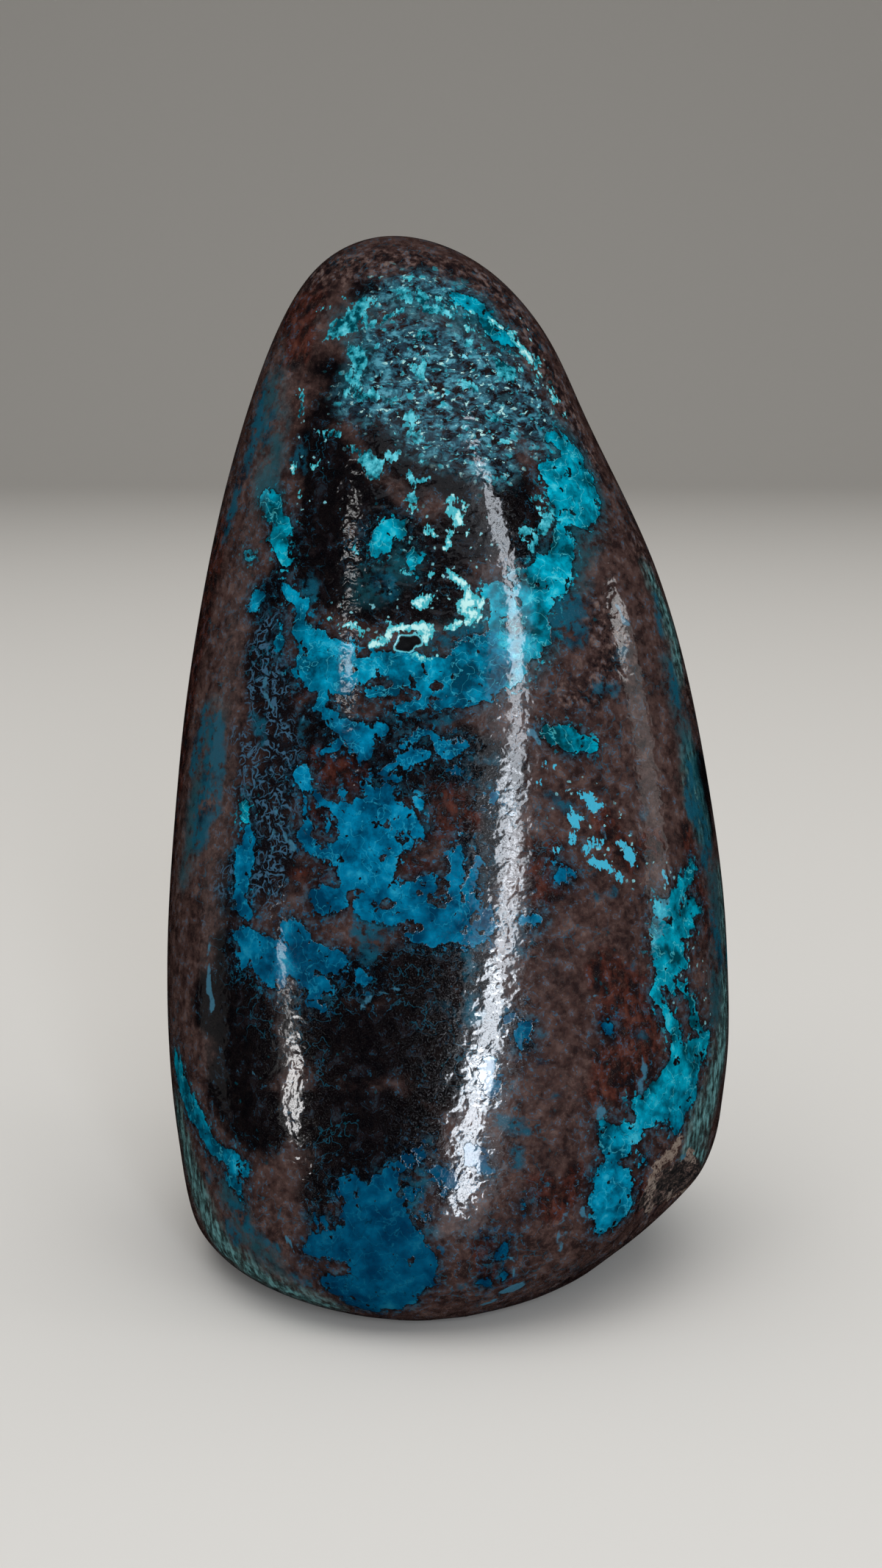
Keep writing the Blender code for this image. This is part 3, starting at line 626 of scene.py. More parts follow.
ashZone = {
    "right rim": [
        (76, 30.0, 1.6), (74, 26.0, 2.0), (70, 22.5, 2.0), (66, 19.5, 2.2), (61, 16.6, 2.2),
        (58, 14.8, 1.6), (64, 13.5, 1.6),
    ],
    "left rim": [
        (-72, 17.0, 1.4), (-68, 13.0, 1.8), (-63, 9.0, 2.0), (-57, 5.6, 2.0), (-46, 3.6, 1.6),
        (-36, 3.0, 1.3), (-28, 2.4, 1.0),
    ],
    "right edge": [(80, 40.0, 1.2), (78, 35.0, 1.6)],
    "right edge high": [(74, 71.0, 1.0), (76, 67.5, 1.5), (78, 64.0, 1.4), (74, 61.5, 1.0)],
    "right edge middle": [(72, 54.0, 1.0), (70, 50.5, 1.4), (73, 46.0, 1.4)],
}

# The unseen back grows its own strokes, in the manner of the front: for each kind how many strokes,
# how many points each has, how far apart these are and the least and greatest half width, in mm
growth = {
    "seed": 11,
    "angles": (100, 262),
    "heights": (5, 95),
    "turning": 2.1,  # how much a stroke can turn at a point, in radians
    "kinds": {
        "black": (11, 5, 5.0, 1.6, 3.2),
        "rust": (9, 4, 4.0, 1.2, 2.4),
        "azure": (18, 7, 2.7, 0.6, 2.4),
        "azure crumbs": (34, 2, 1.4, 0.35, 0.8),
        "teal": (12, 7, 2.6, 0.5, 2.0),
        "teal crumbs": (22, 2, 1.3, 0.35, 0.7),
        "jade": (22, 2, 1.2, 0.3, 0.6),
        "mint": (20, 2, 1.0, 0.25, 0.5),
        "dusk": (20, 3, 1.8, 0.5, 1.1),
        "veil": (7, 4, 3.5, 1.0, 2.0),
        "mottle": (4, 4, 4.0, 1.4, 2.6),
        "lace": (4, 4, 3.6, 1.2, 2.4),
        "speck": (7, 4, 3.6, 1.4, 2.6),
        "ash": (5, 4, 3.2, 0.8, 1.6),
        "crust": (6, 4, 3.4, 1.0, 2.0),
    },
}


def grownStrokes(kind):
    # A stroke wanders off from a place on the back, and turns a little at each point
    count, points, stride, least, greatest = growth["kinds"][kind]
    low, high = growth["heights"]
    strokes = {}
    for number in range(count):
        angle = dice.uniform(*growth["angles"])
        height = dice.uniform(low, high)
        heading = dice.uniform(0, 2 * math.pi)
        stroke = []
        for point in range(points):
            stroke.append((angle, min(max(height, low), high), dice.uniform(least, greatest)))
            heading += dice.uniform(-growth["turning"], growth["turning"])
            angle += math.cos(heading) * stride / mmPerDegree
            height += math.sin(heading) * stride
        strokes[f"grown {kind} {number}"] = stroke
    return strokes


dice = random.Random(growth["seed"])
grown = {kind: grownStrokes(kind) for kind in growth["kinds"]}
grown["azure"] |= grown.pop("azure crumbs")
grown["teal"] |= grown.pop("teal crumbs")

# The chalky crust along the left side of the rough hollow
chalkMarks = {
    "crust": [
        (53, 17.2, 0.5), (51, 16, 0.8), (48.5, 15.2, 0.8), (46.4, 14.2, 0.7), (46, 12.8, 0.7),
        (50, 10.6, 0.5), (53, 9.2, 0.4),
    ],
    "chips": [(58, 14.6, 0.5), (62, 13.6, 0.5)],
    "chips low": [(60, 9.6, 0.4), (66, 9.2, 0.5)],
}

pitMarks = {
    "open pit": [(-9.2, 64.8, 0.35), (-6.2, 65.2, 0.75), (-3.2, 65.9, 0.45)],
}

print("marks listed")

# How marks become fields: each point of the skin gets its distance inside the nearest stroke, in mm
marking = {
    "beadStep": 1.2,  # strokes are strung from beads this far apart
    "hardReach": 3.0,  # how far past its edge a mark is measured, and a soft zone
    "softReach": 7.0,
    "bends": ((2.6, 0.55), (0.95, 0.28)),  # spacing and size of the waves that make the edges natural
    "bendSeed": 11,  # noise_vector goes by the clock without one
    "castLift": 60.0,
    "leastRun": 1e-9,  # keeps a spot's missing length from dividing by nothing
}


def placeOn(angle, height):
    turn = math.radians(angle)
    outward = Vector((math.sin(turn), -math.cos(turn), 0))
    start = lineAt(height)
    hit = surface.ray_cast(start + outward * marking["castLift"], -outward)[0]
    return hit or start


def strungBeads(stroke):
    beads = []
    for first, second in zip(stroke, stroke[1:] or stroke):
        run = math.hypot((second[0] - first[0]) * mmPerDegree, second[1] - first[1])
        steps = max(1, math.ceil(run / marking["beadStep"]))
        for step in range(steps + 1):
            share = step / steps
            angle, height, radius = [a + (b - a) * share for a, b in zip(first, second)]
            beads.append((np.array(placeOn(angle, height)), radius))
    return beads


def bentPlaces(bm):
    noise.seed_set(marking["bendSeed"])
    places = []
    for vert in bm.verts:
        place = vert.co.copy()
        for spacing, size in marking["bends"]:
            place += noise.noise_vector(vert.co / spacing) * size
        places.append(place)
    return np.array(places)


def strokesOf(marks):
    for name, points in marks.items():
        if name == "spots":
            yield from ([point] for point in points)
        else:
            yield points


def layField(marks, reach):
    field = np.full(len(rising), -reach)
    for stroke in strokesOf(marks):
        beads = strungBeads(stroke)
        for (start, startRadius), (end, endRadius) in zip(beads, beads[1:] or beads):
            margin = reach + max(startRadius, endRadius)
            low = np.searchsorted(risingHeights, min(start[2], end[2]) - margin)
            high = np.searchsorted(risingHeights, max(start[2], end[2]) + margin)
            run = end - start
            offset = rising[low:high] - start
            share = np.clip(offset @ run / max(run @ run, marking["leastRun"]), 0, 1)
            gap = np.linalg.norm(offset - share[:, None] * run, axis=1)
            inside = startRadius + (endRadius - startRadius) * share - gap
            field[low:high] = np.maximum(field[low:high], inside)
    spread = np.empty_like(field)
    spread[order] = field
    return spread


bent = bentPlaces(stoneMesh)
order = np.argsort(bent[:, 2])
rising = bent[order]
risingHeights = rising[:, 2]

hard = marking["hardReach"]
soft = marking["softReach"]
islands = layField(islandMarks, hard)
fields = {
    "azure": layField(azureMarks | grown["azure"], hard),
    "teal": layField(tealMarks | grown["teal"], hard),
    "jade": layField(jadeMarks | grown["jade"], hard),
    "mint": layField(mintMarks | grown["mint"], hard),
    "dusk": layField(duskMarks | grown["dusk"], hard),
    "pale": layField(paleMarks, hard),
    "black": layField(blackMarks | grown["black"], soft),
    "rust": layField(rustMarks | grown["rust"], soft),
    "mottle": layField(mottleZone | grown["mottle"], soft),
    "lace": layField(laceZone | grown["lace"], soft),
    "speck": layField(speckZone | grown["speck"], soft),
    "ash": layField(ashZone | grown["ash"], soft),
    "crust": layField(crustZone | grown["crust"], soft),
    "veil": layField(veilZone | grown["veil"], soft),
    "pit": layField(pitMarks, hard),
    "chalk": layField(chalkMarks, hard),
}
for name in ("azure", "teal"):
    fields[name] = np.minimum(fields[name], -islands)
print("marks laid on the skin as", len(fields), "fields")

# The rough hollow and the small pit are worked into the skin
hollow = {
    "middle": (22.4, -15.7, 11.6),
    "halfLength": 5.6,
    "halfHeight": 3.2,
    "facesDown": 0.25,
    "raggedness": 0.25,
    "raggedSpacing": 1.7,
    "raggedShift": (0.8, -0.5, 0.0),
    "grains": ((1.1, 0.3), (0.5, 0.16)),  # spacing and height
    "grainRim": 0.15,
    "pitDepth": 0.8,
    "pitRadius": 0.5,
    "farShare": 3.0,  # stands for the whole far side of the stone
}


def hollowShares(bm):
    middle = Vector(hollow["middle"])
    nearest = surface.find_nearest(middle)
    out = Vector((middle.x, middle.y, 0)).normalized()
    out = (out + Vector((0, 0, -hollow["facesDown"]))).normalized()
    along = Vector((0, 0, 1)).cross(out).normalized()
    up = out.cross(along)
    shares = []
    for vert in bm.verts:
        offset = vert.co - nearest[0]
        across = offset.dot(along) / hollow["halfLength"]
        upward = offset.dot(up) / hollow["halfHeight"]
        ragged = noise.noise((vert.co + Vector(hollow["raggedShift"])) / hollow["raggedSpacing"])
        behind = offset.dot(out) < -hollow["halfLength"]
        share = math.hypot(across, upward) + hollow["raggedness"] * ragged
        shares.append(hollow["farShare"] if behind else share)
    return np.array(shares)


shares = hollowShares(stoneMesh)
fields["hollow"] = 1 - shares
for vert, depth, pit in zip(stoneMesh.verts, fields["hollow"], fields["pit"]):
    if depth > 0:
        ease = min(1, depth / hollow["grainRim"])
        for spacing, height in hollow["grains"]:
            vert.co += vert.normal * (ease * height * noise.noise(vert.co / spacing))
    if pit > 0:
        vert.co -= vert.normal * (hollow["pitDepth"] * min(1, pit / hollow["pitRadius"]))
print("hollow and pit worked in")


def finishedStone(bm):
    bmesh.ops.scale(bm, vec=(mm, mm, mm), verts=bm.verts[:])
    bmesh.ops.recalc_face_normals(bm, faces=bm.faces[:])
    mesh = bpy.data.meshes.new("chrysocollaStone")
    bm.to_mesh(mesh)
    bm.free()
    mesh.shade_smooth()
    for name, field in fields.items():
        layer = mesh.attributes.new(name, "FLOAT", "POINT")
        layer.data.foreach_set("value", field.astype(np.float32))
    stone = bpy.data.objects.new("chrysocollaStone", mesh)
    bpy.context.scene.collection.objects.link(stone)
    return stone


stone = finishedStone(stoneMesh)


class Strand:
    # One output in the material. Sums and products of strands add Math nodes.
    def __init__(self, tree, socket=None):
        self.tree = tree
        self.socket = socket

    def node(self, kind, output, values, settings=None):
        made = self.tree.nodes.new(kind)
        for name, setting in (settings or {}).items():
            if name == "stops":
                layStops(made.color_ramp, setting)
            else:
                setattr(made, name, setting)
        for place, value in values.items():
            if isinstance(value, Strand):
                self.tree.links.new(value.socket, made.inputs[place])
            else:
                made.inputs[place].default_value = value
        return Strand(self.tree, made.outputs[output])

    def maths(self, operation, first, second):
        return self.node("ShaderNodeMath", 0, {0: first, 1: second}, {"operation": operation})

    def __add__(self, other):
        return self.maths("ADD", self, other)

    __radd__ = __add__

    def __sub__(self, other):
        return self.maths("SUBTRACT", self, other)

    def __rsub__(self, other):
        return self.maths("SUBTRACT", other, self)

    def __mul__(self, other):
        return self.maths("MULTIPLY", self, other)

    __rmul__ = __mul__

    def __abs__(self):
        return self.maths("ABSOLUTE", self, 0)

    def least(self, other):
        return self.maths("MINIMUM", self, other)

    def most(self, other):
        return self.maths("MAXIMUM", self, other)

    def folded(self, step):
        # Runs up and down between 0 and the step, like the contour lines of a map
        return self.maths("PINGPONG", self, step)

    def rise(self, low, high):
        # 0 below low, 1 above high, with a soft step between
        values = {"Value": self, "From Min": low, "From Max": high}
        return self.node("ShaderNodeMapRange", 0, values, {"interpolation_type": "SMOOTHSTEP"})

    def blend(self, under, over):
        values = {0: self, 6: under, 7: over}
        return self.node("ShaderNodeMix", 2, values, {"data_type": "RGBA"})

    def ramp(self, stops):
        return self.node("ShaderNodeValToRGB", 0, {0: self}, {"stops": stops})

    def clouds(self, scale, detail, roughness, distortion=0.0):
        values = {
            "Vector": self,
            "Scale": scale,
            "Detail": detail,
            "Roughness": roughness,
            "Distortion": distortion,
        }
        return self.node("ShaderNodeTexNoise", 0, values)

    def cells(self, scale, output, feature="F1"):
        values = {"Vector": self, "Scale": scale}
        return self.node("ShaderNodeTexVoronoi", output, values, {"feature": feature})

    def chips(self, grain, scale, fray, size):
        # A frayed chip in the middle of each cell
        return 1 - (self.cells(scale, "Distance") + (grain - 0.5) * fray).rise(*size)

    def threads(self, clouds, width):
        # Thin winding lines, where clouds pass their middle value
        return 1 - abs(self.clouds(*clouds) - 0.5).rise(*width)

    def bent(self, scale, size):
        # Shoves a place about, so that patterns there lose their regular look
        shove = self.node("ShaderNodeTexNoise", "Color", {"Vector": self, "Scale": scale})
        values = {0: shove, 1: (size, size, size), 2: self}
        return self.node("ShaderNodeVectorMath", 0, values, {"operation": "MULTIPLY_ADD"})

    def stretched(self, across, deep, tall):
        values = {0: self, 1: (across, deep, tall)}
        return self.node("ShaderNodeVectorMath", 0, values, {"operation": "MULTIPLY"})


def layStops(colorRamp, stops):
    for spare in range(len(stops) - len(colorRamp.elements)):
        colorRamp.elements.new(1.0)
    for element, (position, tone) in zip(colorRamp.elements, stops):
        element.position = position
        element.color = tones[tone]


def paint(red, green, blue):
    # A colour as seen on a screen, 0 to 255, as the linear colour that a shader takes
    linear = []
    for part in (red, green, blue):
        part /= 255
        linear.append(part / 12.92 if part <= 0.04045 else ((part + 0.055) / 1.055) ** 2.4)
    return (*linear, 1.0)


tones = {
    "night": paint(3, 3, 5),
    "deep": paint(16, 13, 16),
    "umber": paint(36, 25, 24),
    "brown": paint(56, 40, 37),
    "fawn": paint(72, 54, 50),
    "dust": paint(94, 76, 71),
    "rustDark": paint(34, 15, 12),
    "rust": paint(64, 30, 23),
    "rustLight": paint(86, 48, 38),
    "slate": paint(30, 50, 62),
    "slateBlue": paint(42, 94, 110),
    "slateLight": paint(80, 146, 162),
    "thread": paint(58, 94, 118),
    "ash": paint(54, 88, 88),
    "ashDark": paint(22, 38, 38),
    "ashLight": paint(104, 158, 160),
    "veil": paint(14, 68, 78),
    "dusk": paint(12, 70, 88),
    "duskDeep": paint(4, 22, 34),
    "echo": paint(20, 92, 120),
    "azureDeep": paint(0, 52, 78),
    "azure": paint(0, 84, 116),
    "azureLight": paint(0, 118, 156),
    "azurePale": paint(44, 164, 194),
    # painted shade: the dark blue that the blue turns to low on the stone
    "azureShadedLow": paint(0, 36, 62),
    "tealDeep": paint(0, 56, 66),
    "teal": paint(0, 104, 124),
    "tealLight": paint(0, 154, 178),
    "tealPale": paint(90, 200, 208),
    "jade": paint(40, 142, 156),
    "jadeLight": paint(100, 194, 206),
    "mint": paint(60, 164, 174),
    "mintLight": paint(178, 220, 216),
    "cyan": paint(60, 158, 184),
    "cyanLight": paint(112, 198, 216),
    "pale": paint(54, 106, 128),
    "tan": paint(64, 50, 42),
    "tanDark": paint(8, 4, 3),
    "tanLight": paint(124, 111, 101),
    "pink": paint(98, 76, 70),
    "crust": paint(114, 98, 90),
    "chalk": paint(112, 98, 88),
}

# The values beside each function below: clouds are (scale, detail, roughness), a bend is (scale, size),
# tones are places on a colour ramp, and an edge says from where to where a mark grows in strength, in
# mm inside its outline. Spots and steps are shares of a pattern, and covers say how much hides what is
# under it.
rock = {
    "browns": ((0.41, "umber"), (0.48, "brown"), (0.55, "fawn"), (0.65, "dust")),
    "blacks": ((0.52, "night"), (0.64, "deep"), (0.78, "slate")),
    "rusts": ((0.42, "deep"), (0.48, "rustDark"), (0.55, "rust"), (0.66, "rustLight")),
    "crusts": ((0.42, "deep"), (0.47, "umber"), (0.52, "brown"), (0.58, "dust"), (0.66, "crust")),
    "blackEdge": (-1.2, 1.0),
    "blackCover": 0.96,
    "rustEdge": (-0.7, 0.5),
    "rustCover": 0.85,
    "fleckBend": (2.0, 0.5),
    "fleckClouds": (2.2, 4, 0.7),
    "fleckStep": (0.62, 0.7),
    "fleckSpots": (0.45, 0.58),
    "fleckCover": 0.4,
    "crustEdge": (-1.4, 1.4),
    "crustCover": 0.85,
    "lineWidth": 0.007,  # of the light contour lines, which fade on black rock
    "lineFade": 0.8,
    "lineSpots": (0.44, 0.56),
    "lineCover": 0.3,
    "ringCover": 0.6,  # of the dark contour lines
}


def groundColour(place, field, grain, worms, fibre, blotch, rings):
    # Brown and black rock with red-brown fields, an ashen crust, contour lines and flecks
    colour = (worms * 0.5 + blotch * 0.25 + grain * 0.25).ramp(rock["browns"])
    night = worms.ramp(rock["blacks"])
    dark = field["black"].rise(*rock["blackEdge"])
    colour = (dark * rock["blackCover"]).blend(colour, night)
    rusty = (worms * 0.6 + fibre * 0.4).ramp(rock["rusts"])
    colour = (field["rust"].rise(*rock["rustEdge"]) * rock["rustCover"]).blend(colour, rusty)
    flecks = place.bent(*rock["fleckBend"]).clouds(*rock["fleckClouds"]).rise(*rock["fleckStep"])
    flecks = flecks * blotch.rise(*rock["fleckSpots"])
    colour = (flecks * (1 - dark) * rock["fleckCover"]).blend(colour, tones["slate"])
    crusty = (grain * 0.6 + worms * 0.4).ramp(rock["crusts"])
    colour = (field["crust"].rise(*rock["crustEdge"]) * rock["crustCover"]).blend(colour, crusty)
    step = finish["ringStep"]
    light = worms.folded(step).rise(step - rock["lineWidth"], step) * (1 - dark * rock["lineFade"])
    light = light * grain.rise(*rock["lineSpots"]) * rock["lineCover"]
    colour = light.blend(colour, tones["crust"])
    return (rings * rock["ringCover"]).blend(colour, tones["night"])


lace = {
    "bend": (0.7, 1.9),
    "cellScale": 0.55,
    "cellFray": 0.04,
    "loopBend": (0.8, 1.2),
    "loopClouds": (0.5, 1, 0.5),
    "loopStep": 0.06,
    "loopWidth": (0.003, 0.009),
    "outline": 0.13,  # how far the outline of a cell lies from its edge
    "outlineWidth": (0.02, 0.06),
    "edge": (-1.2, 1.2),
    "cellStep": (0.16, 0.4),
    "cellCover": 0.6,
    "spotClouds": (0.8, 2, 0.5),
    "spots": (0.42, 0.52),
    "outlineCover": 0.75,
}


def laceColour(place, colour, field, grain):
    # Thin bluish outlines round broken cells
    broken = place.bent(*lace["bend"])
    near = broken.cells(lace["cellScale"], "Distance", "DISTANCE_TO_EDGE") + (grain - 0.5) * lace["cellFray"]
    loops = place.bent(*lace["loopBend"]).clouds(*lace["loopClouds"])
    nested = 1 - loops.folded(lace["loopStep"]).rise(*lace["loopWidth"])
    outline = (1 - abs(near - lace["outline"]).rise(*lace["outlineWidth"])).most(nested)
    zone = field["lace"].rise(*lace["edge"])
    floor = near.rise(*lace["cellStep"])
    colour = (zone * lace["cellCover"]).blend(colour, floor.blend(tones["deep"], tones["umber"]))
    strength = zone * place.clouds(*lace["spotClouds"]).rise(*lace["spots"])
    return (outline * strength * lace["outlineCover"]).blend(colour, tones["thread"])


halo = {
    "darkEdge": (0.0, 2.5),
    "darkFade": 0.7,  # how much of the blue is lost on black rock
    "seepWander": 5.0,  # in mm
    "seepEdge": (-1.6, 0.4),
    "seepCover": 0.75,
    "seepTones": ((0.42, "night"), (0.5, "duskDeep"), (0.62, "dusk")),
    "echoWander": 7.0,
    "echoes": ((1.1, (0.03, 0.12)), (2.4, (0.02, 0.1))),  # distance from the mineral and width, in mm
    "echoSpots": (0.46, 0.54),
    "echoCover": 0.55,
}


def haloColour(colour, nearest, dark, grain, worms):
    # Deep blue that seeps out of the minerals, with thin bluish echoes of their outlines
    bright = 1 - dark.rise(*halo["darkEdge"]) * halo["darkFade"]
    seep = ((worms - 0.5) * halo["seepWander"] + nearest).rise(*halo["seepEdge"])
    seep = seep * bright * halo["seepCover"]
    colour = seep.blend(colour, grain.ramp(halo["seepTones"]))
    winding = (worms - 0.5) * halo["echoWander"] + nearest
    near, far = [1 - abs(winding + gap).rise(*width) for gap, width in halo["echoes"]]
    echo = near.most(far) * bright * grain.rise(*halo["echoSpots"]) * halo["echoCover"]
    return echo.blend(colour, tones["echo"])


brow = {
    "stretch": (0.75, 0.75, 1.15),
    "bend": (0.7, 1.3),
    "blotchClouds": (1.2, 4, 0.66),
    "blotchTones": ((0.42, "deep"), (0.47, "slate"), (0.54, "slateBlue"), (0.64, "slateLight")),
    "edge": (-1.8, 1.4),
    "blotchCover": 0.9,
    "gaps": (  # clouds, step, cover and tone of the dark places between the blotches
        ((0.7, 3, 0.6), (0.55, 0.58), 0.6, "slate"),
        ((0.9, 3, 0.6), (0.57, 0.6), 0.8, "deep"),
    ),
    "crumbClouds": (1.9, 3, 0.62),
    "crumbStep": (0.6, 0.62),
    "crumbTones": ((0.42, "slateBlue"), (0.5, "jade"), (0.6, "mintLight")),
    "crumbCover": 0.85,
    "chipBend": (1.2, 0.8),
    "chipScale": 0.62,
    "chipFray": 1.1,
    "chipSize": (0.2, 0.25),
    "chipShare": (0.5, 0.52),  # a higher number leaves fewer chips
    "chipCover": 0.95,
    "chipLight": (0.44, 0.56),
    "crispBend": (1.8, 0.6),
    "crispScale": 1.15,
    "crispFray": 0.9,
    "crispSize": (0.2, 0.26),
    "crispShare": (0.52, 0.54),
    "crispEdge": (-3.0, 0.5),
    "crispCover": 0.8,
    "crispLight": (0.42, 0.58),
}


def browColour(place, colour, field, grain):
    # The mottled blue-grey brow: level flecks of slate, teal and cyan
    flow = place.stretched(*brow["stretch"]).bent(*brow["bend"])
    blotches = flow.clouds(*brow["blotchClouds"]).ramp(brow["blotchTones"])
    zone = field["mottle"].rise(*brow["edge"])
    colour = (zone * brow["blotchCover"]).blend(colour, blotches)
    for clouds, step, cover, tone in brow["gaps"]:
        colour = (flow.clouds(*clouds).rise(*step) * zone * cover).blend(colour, tones[tone])
    crumbs = flow.clouds(*brow["crumbClouds"]).rise(*brow["crumbStep"]) * zone
    crumbColour = grain.ramp(brow["crumbTones"])
    colour = (crumbs * brow["crumbCover"]).blend(colour, crumbColour)
    # Larger bright chips, here and there, and small crisp ones
    loose = flow.bent(*brow["chipBend"])
    chips = loose.chips(grain, brow["chipScale"], brow["chipFray"], brow["chipSize"])
    chips = chips * loose.cells(brow["chipScale"], "Color").rise(*brow["chipShare"]) * zone
    chips = chips * brow["chipCover"]
    colour = chips.blend(colour, grain.rise(*brow["chipLight"]).blend(tones["jade"], tones["cyanLight"]))
    small = flow.bent(*brow["crispBend"])
    crisps = small.chips(grain, brow["crispScale"], brow["crispFray"], brow["crispSize"])
    crisps = crisps * small.cells(brow["crispScale"], "Color").rise(*brow["crispShare"])
    crisps = crisps * field["mottle"].rise(*brow["crispEdge"]) * brow["crispCover"]
    return crisps.blend(colour, grain.rise(*brow["crispLight"]).blend(tones["jade"], tones["mintLight"]))


specks = {
    "bend": (1.6, 0.7),
    "scale": 1.2,
    "fray": 0.5,
    "size": (0.14, 0.22),
    "share": (0.62, 0.64),  # a higher number leaves fewer specks
    "spots": (0.46, 0.56),
    "cover": 0.6,
    "zoneShare": (0.36, 0.38),
    "zoneEdge": (-1.2, 1.0),
    "zoneCover": 0.8,
    "threadBend": (0.6, 0.9),
    "threadClouds": (0.45, 3, 0.5),
    "threadWidth": (0.003, 0.011),
    "threadSpotClouds": (0.11, 2, 0.5),
    "threadSpots": (0.5, 0.58),
    "threadCover": 0.6,
}


def speckColour(place, colour, field, grain, blotch):
    # Tiny specks, and threads of dull blue
    loose = place.bent(*specks["bend"])
    tiny = loose.chips(grain, specks["scale"], specks["fray"], specks["size"])
    chosen = loose.cells(specks["scale"], "Color")
    often = chosen.rise(*specks["share"]) * tiny * blotch.rise(*specks["spots"])
    more = chosen.rise(*specks["zoneShare"]) * tiny * field["speck"].rise(*specks["zoneEdge"])
    colour = (often * specks["cover"]).blend(colour, tones["tealDeep"])
    colour = (more * specks["zoneCover"]).blend(colour, grain.blend(tones["tealLight"], tones["mintLight"]))
    thread = place.bent(*specks["threadBend"]).threads(specks["threadClouds"], specks["threadWidth"])
    thread = thread * place.clouds(*specks["threadSpotClouds"]).rise(*specks["threadSpots"])
    return (thread * specks["threadCover"]).blend(colour, tones["dusk"])


dull = {
    "ashTones": ((0.42, "ashDark"), (0.5, "ash"), (0.6, "ashLight")),
    "ashEdge": (-1.6, 1.4),
    "ashCover": 0.8,
    "veilEdge": (-1.4, 1.4),
    "veilSpots": (0.38, 0.56),
    "veilCover": 0.75,
    "duskTones": ((0.36, "duskDeep"), (0.5, "dusk")),
    "duskEdge": (-0.4, 0.4),
    "duskSpots": (0.4, 0.5),
    "duskCover": 0.85,
    "paleCover": 0.75,
}


def dullColour(colour, field, grain, fibre, cloud):
    # The ashen lower rim, then veils, dull blue and pale marks
    ashes = (fibre * 0.6 + grain * 0.4).ramp(dull["ashTones"])
    colour = (field["ash"].rise(*dull["ashEdge"]) * dull["ashCover"]).blend(colour, ashes)
    veiled = field["veil"].rise(*dull["veilEdge"]) * (grain * 0.5 + cloud * 0.5).rise(*dull["veilSpots"])
    colour = (veiled * dull["veilCover"]).blend(colour, tones["veil"])
    dusky = cloud.ramp(dull["duskTones"])
    dusk = field["dusk"].rise(*dull["duskEdge"]) * (grain * 0.7 + cloud * 0.3).rise(*dull["duskSpots"])
    colour = (dusk * dull["duskCover"]).blend(colour, dusky)
    pale = field["pale"].rise(-finish["edge"], finish["edge"] * 2)
    return (pale * dull["paleCover"]).blend(colour, tones["pale"])


minerals = {
    "rimWidth": 0.35,
    "rimCover": 0.8,
    "sprayBend": (1.1, 0.7),
    "sprayClouds": (1.7, 3, 0.6),
    "sprayStep": (0.6, 0.62),
    "sprayReach": (-1.6, -0.1),  # how far crumbs of a mineral are scattered past its edge, in mm
    "sprayCover": 0.9,
    "crackBend": (0.9, 1.2),
    "crackClouds": (0.7, 3, 0.5),
    "crackWidth": (0.002, 0.012),
    "crackSpots": (0.44, 0.54),
    "crackCover": 0.5,
    "ringCover": 0.15,
    "veinBend": (0.6, 1.6),
    "veinClouds": (0.5, 3, 0.5),
    "veinWidth": (0.002, 0.014),
    "veinCover": 0.4,
    "tealTones": ((0.42, "tealDeep"), (0.49, "teal"), (0.58, "tealLight"), (0.7, "tealPale")),
    "azureTones": ((0.42, "azureDeep"), (0.49, "azure"), (0.58, "azureLight"), (0.7, "azurePale")),
    "lowShade": (6.0, 68.0),  # painted shade: the blue darkens from the second height down to the first, in mm
    "azureLowShade": 0.75,
    "tealLowShade": 0.2,
    "tealToAzure": (14.0, 26.0),  # teal turns to blue below these heights, and blue to teal above those
    "tealToAzureCover": 0.7,
    "azureToTeal": (54.0, 64.0),
    "azureToTealCover": 0.4,
    "mintToCyan": (56.0, 58.0),
    "mintFray": 2.0,
    "mintStep": (0.1, 0.5),
    "jadeTones": ((0.43, "tealDeep"), (0.51, "jade"), (0.61, "jadeLight")),
}


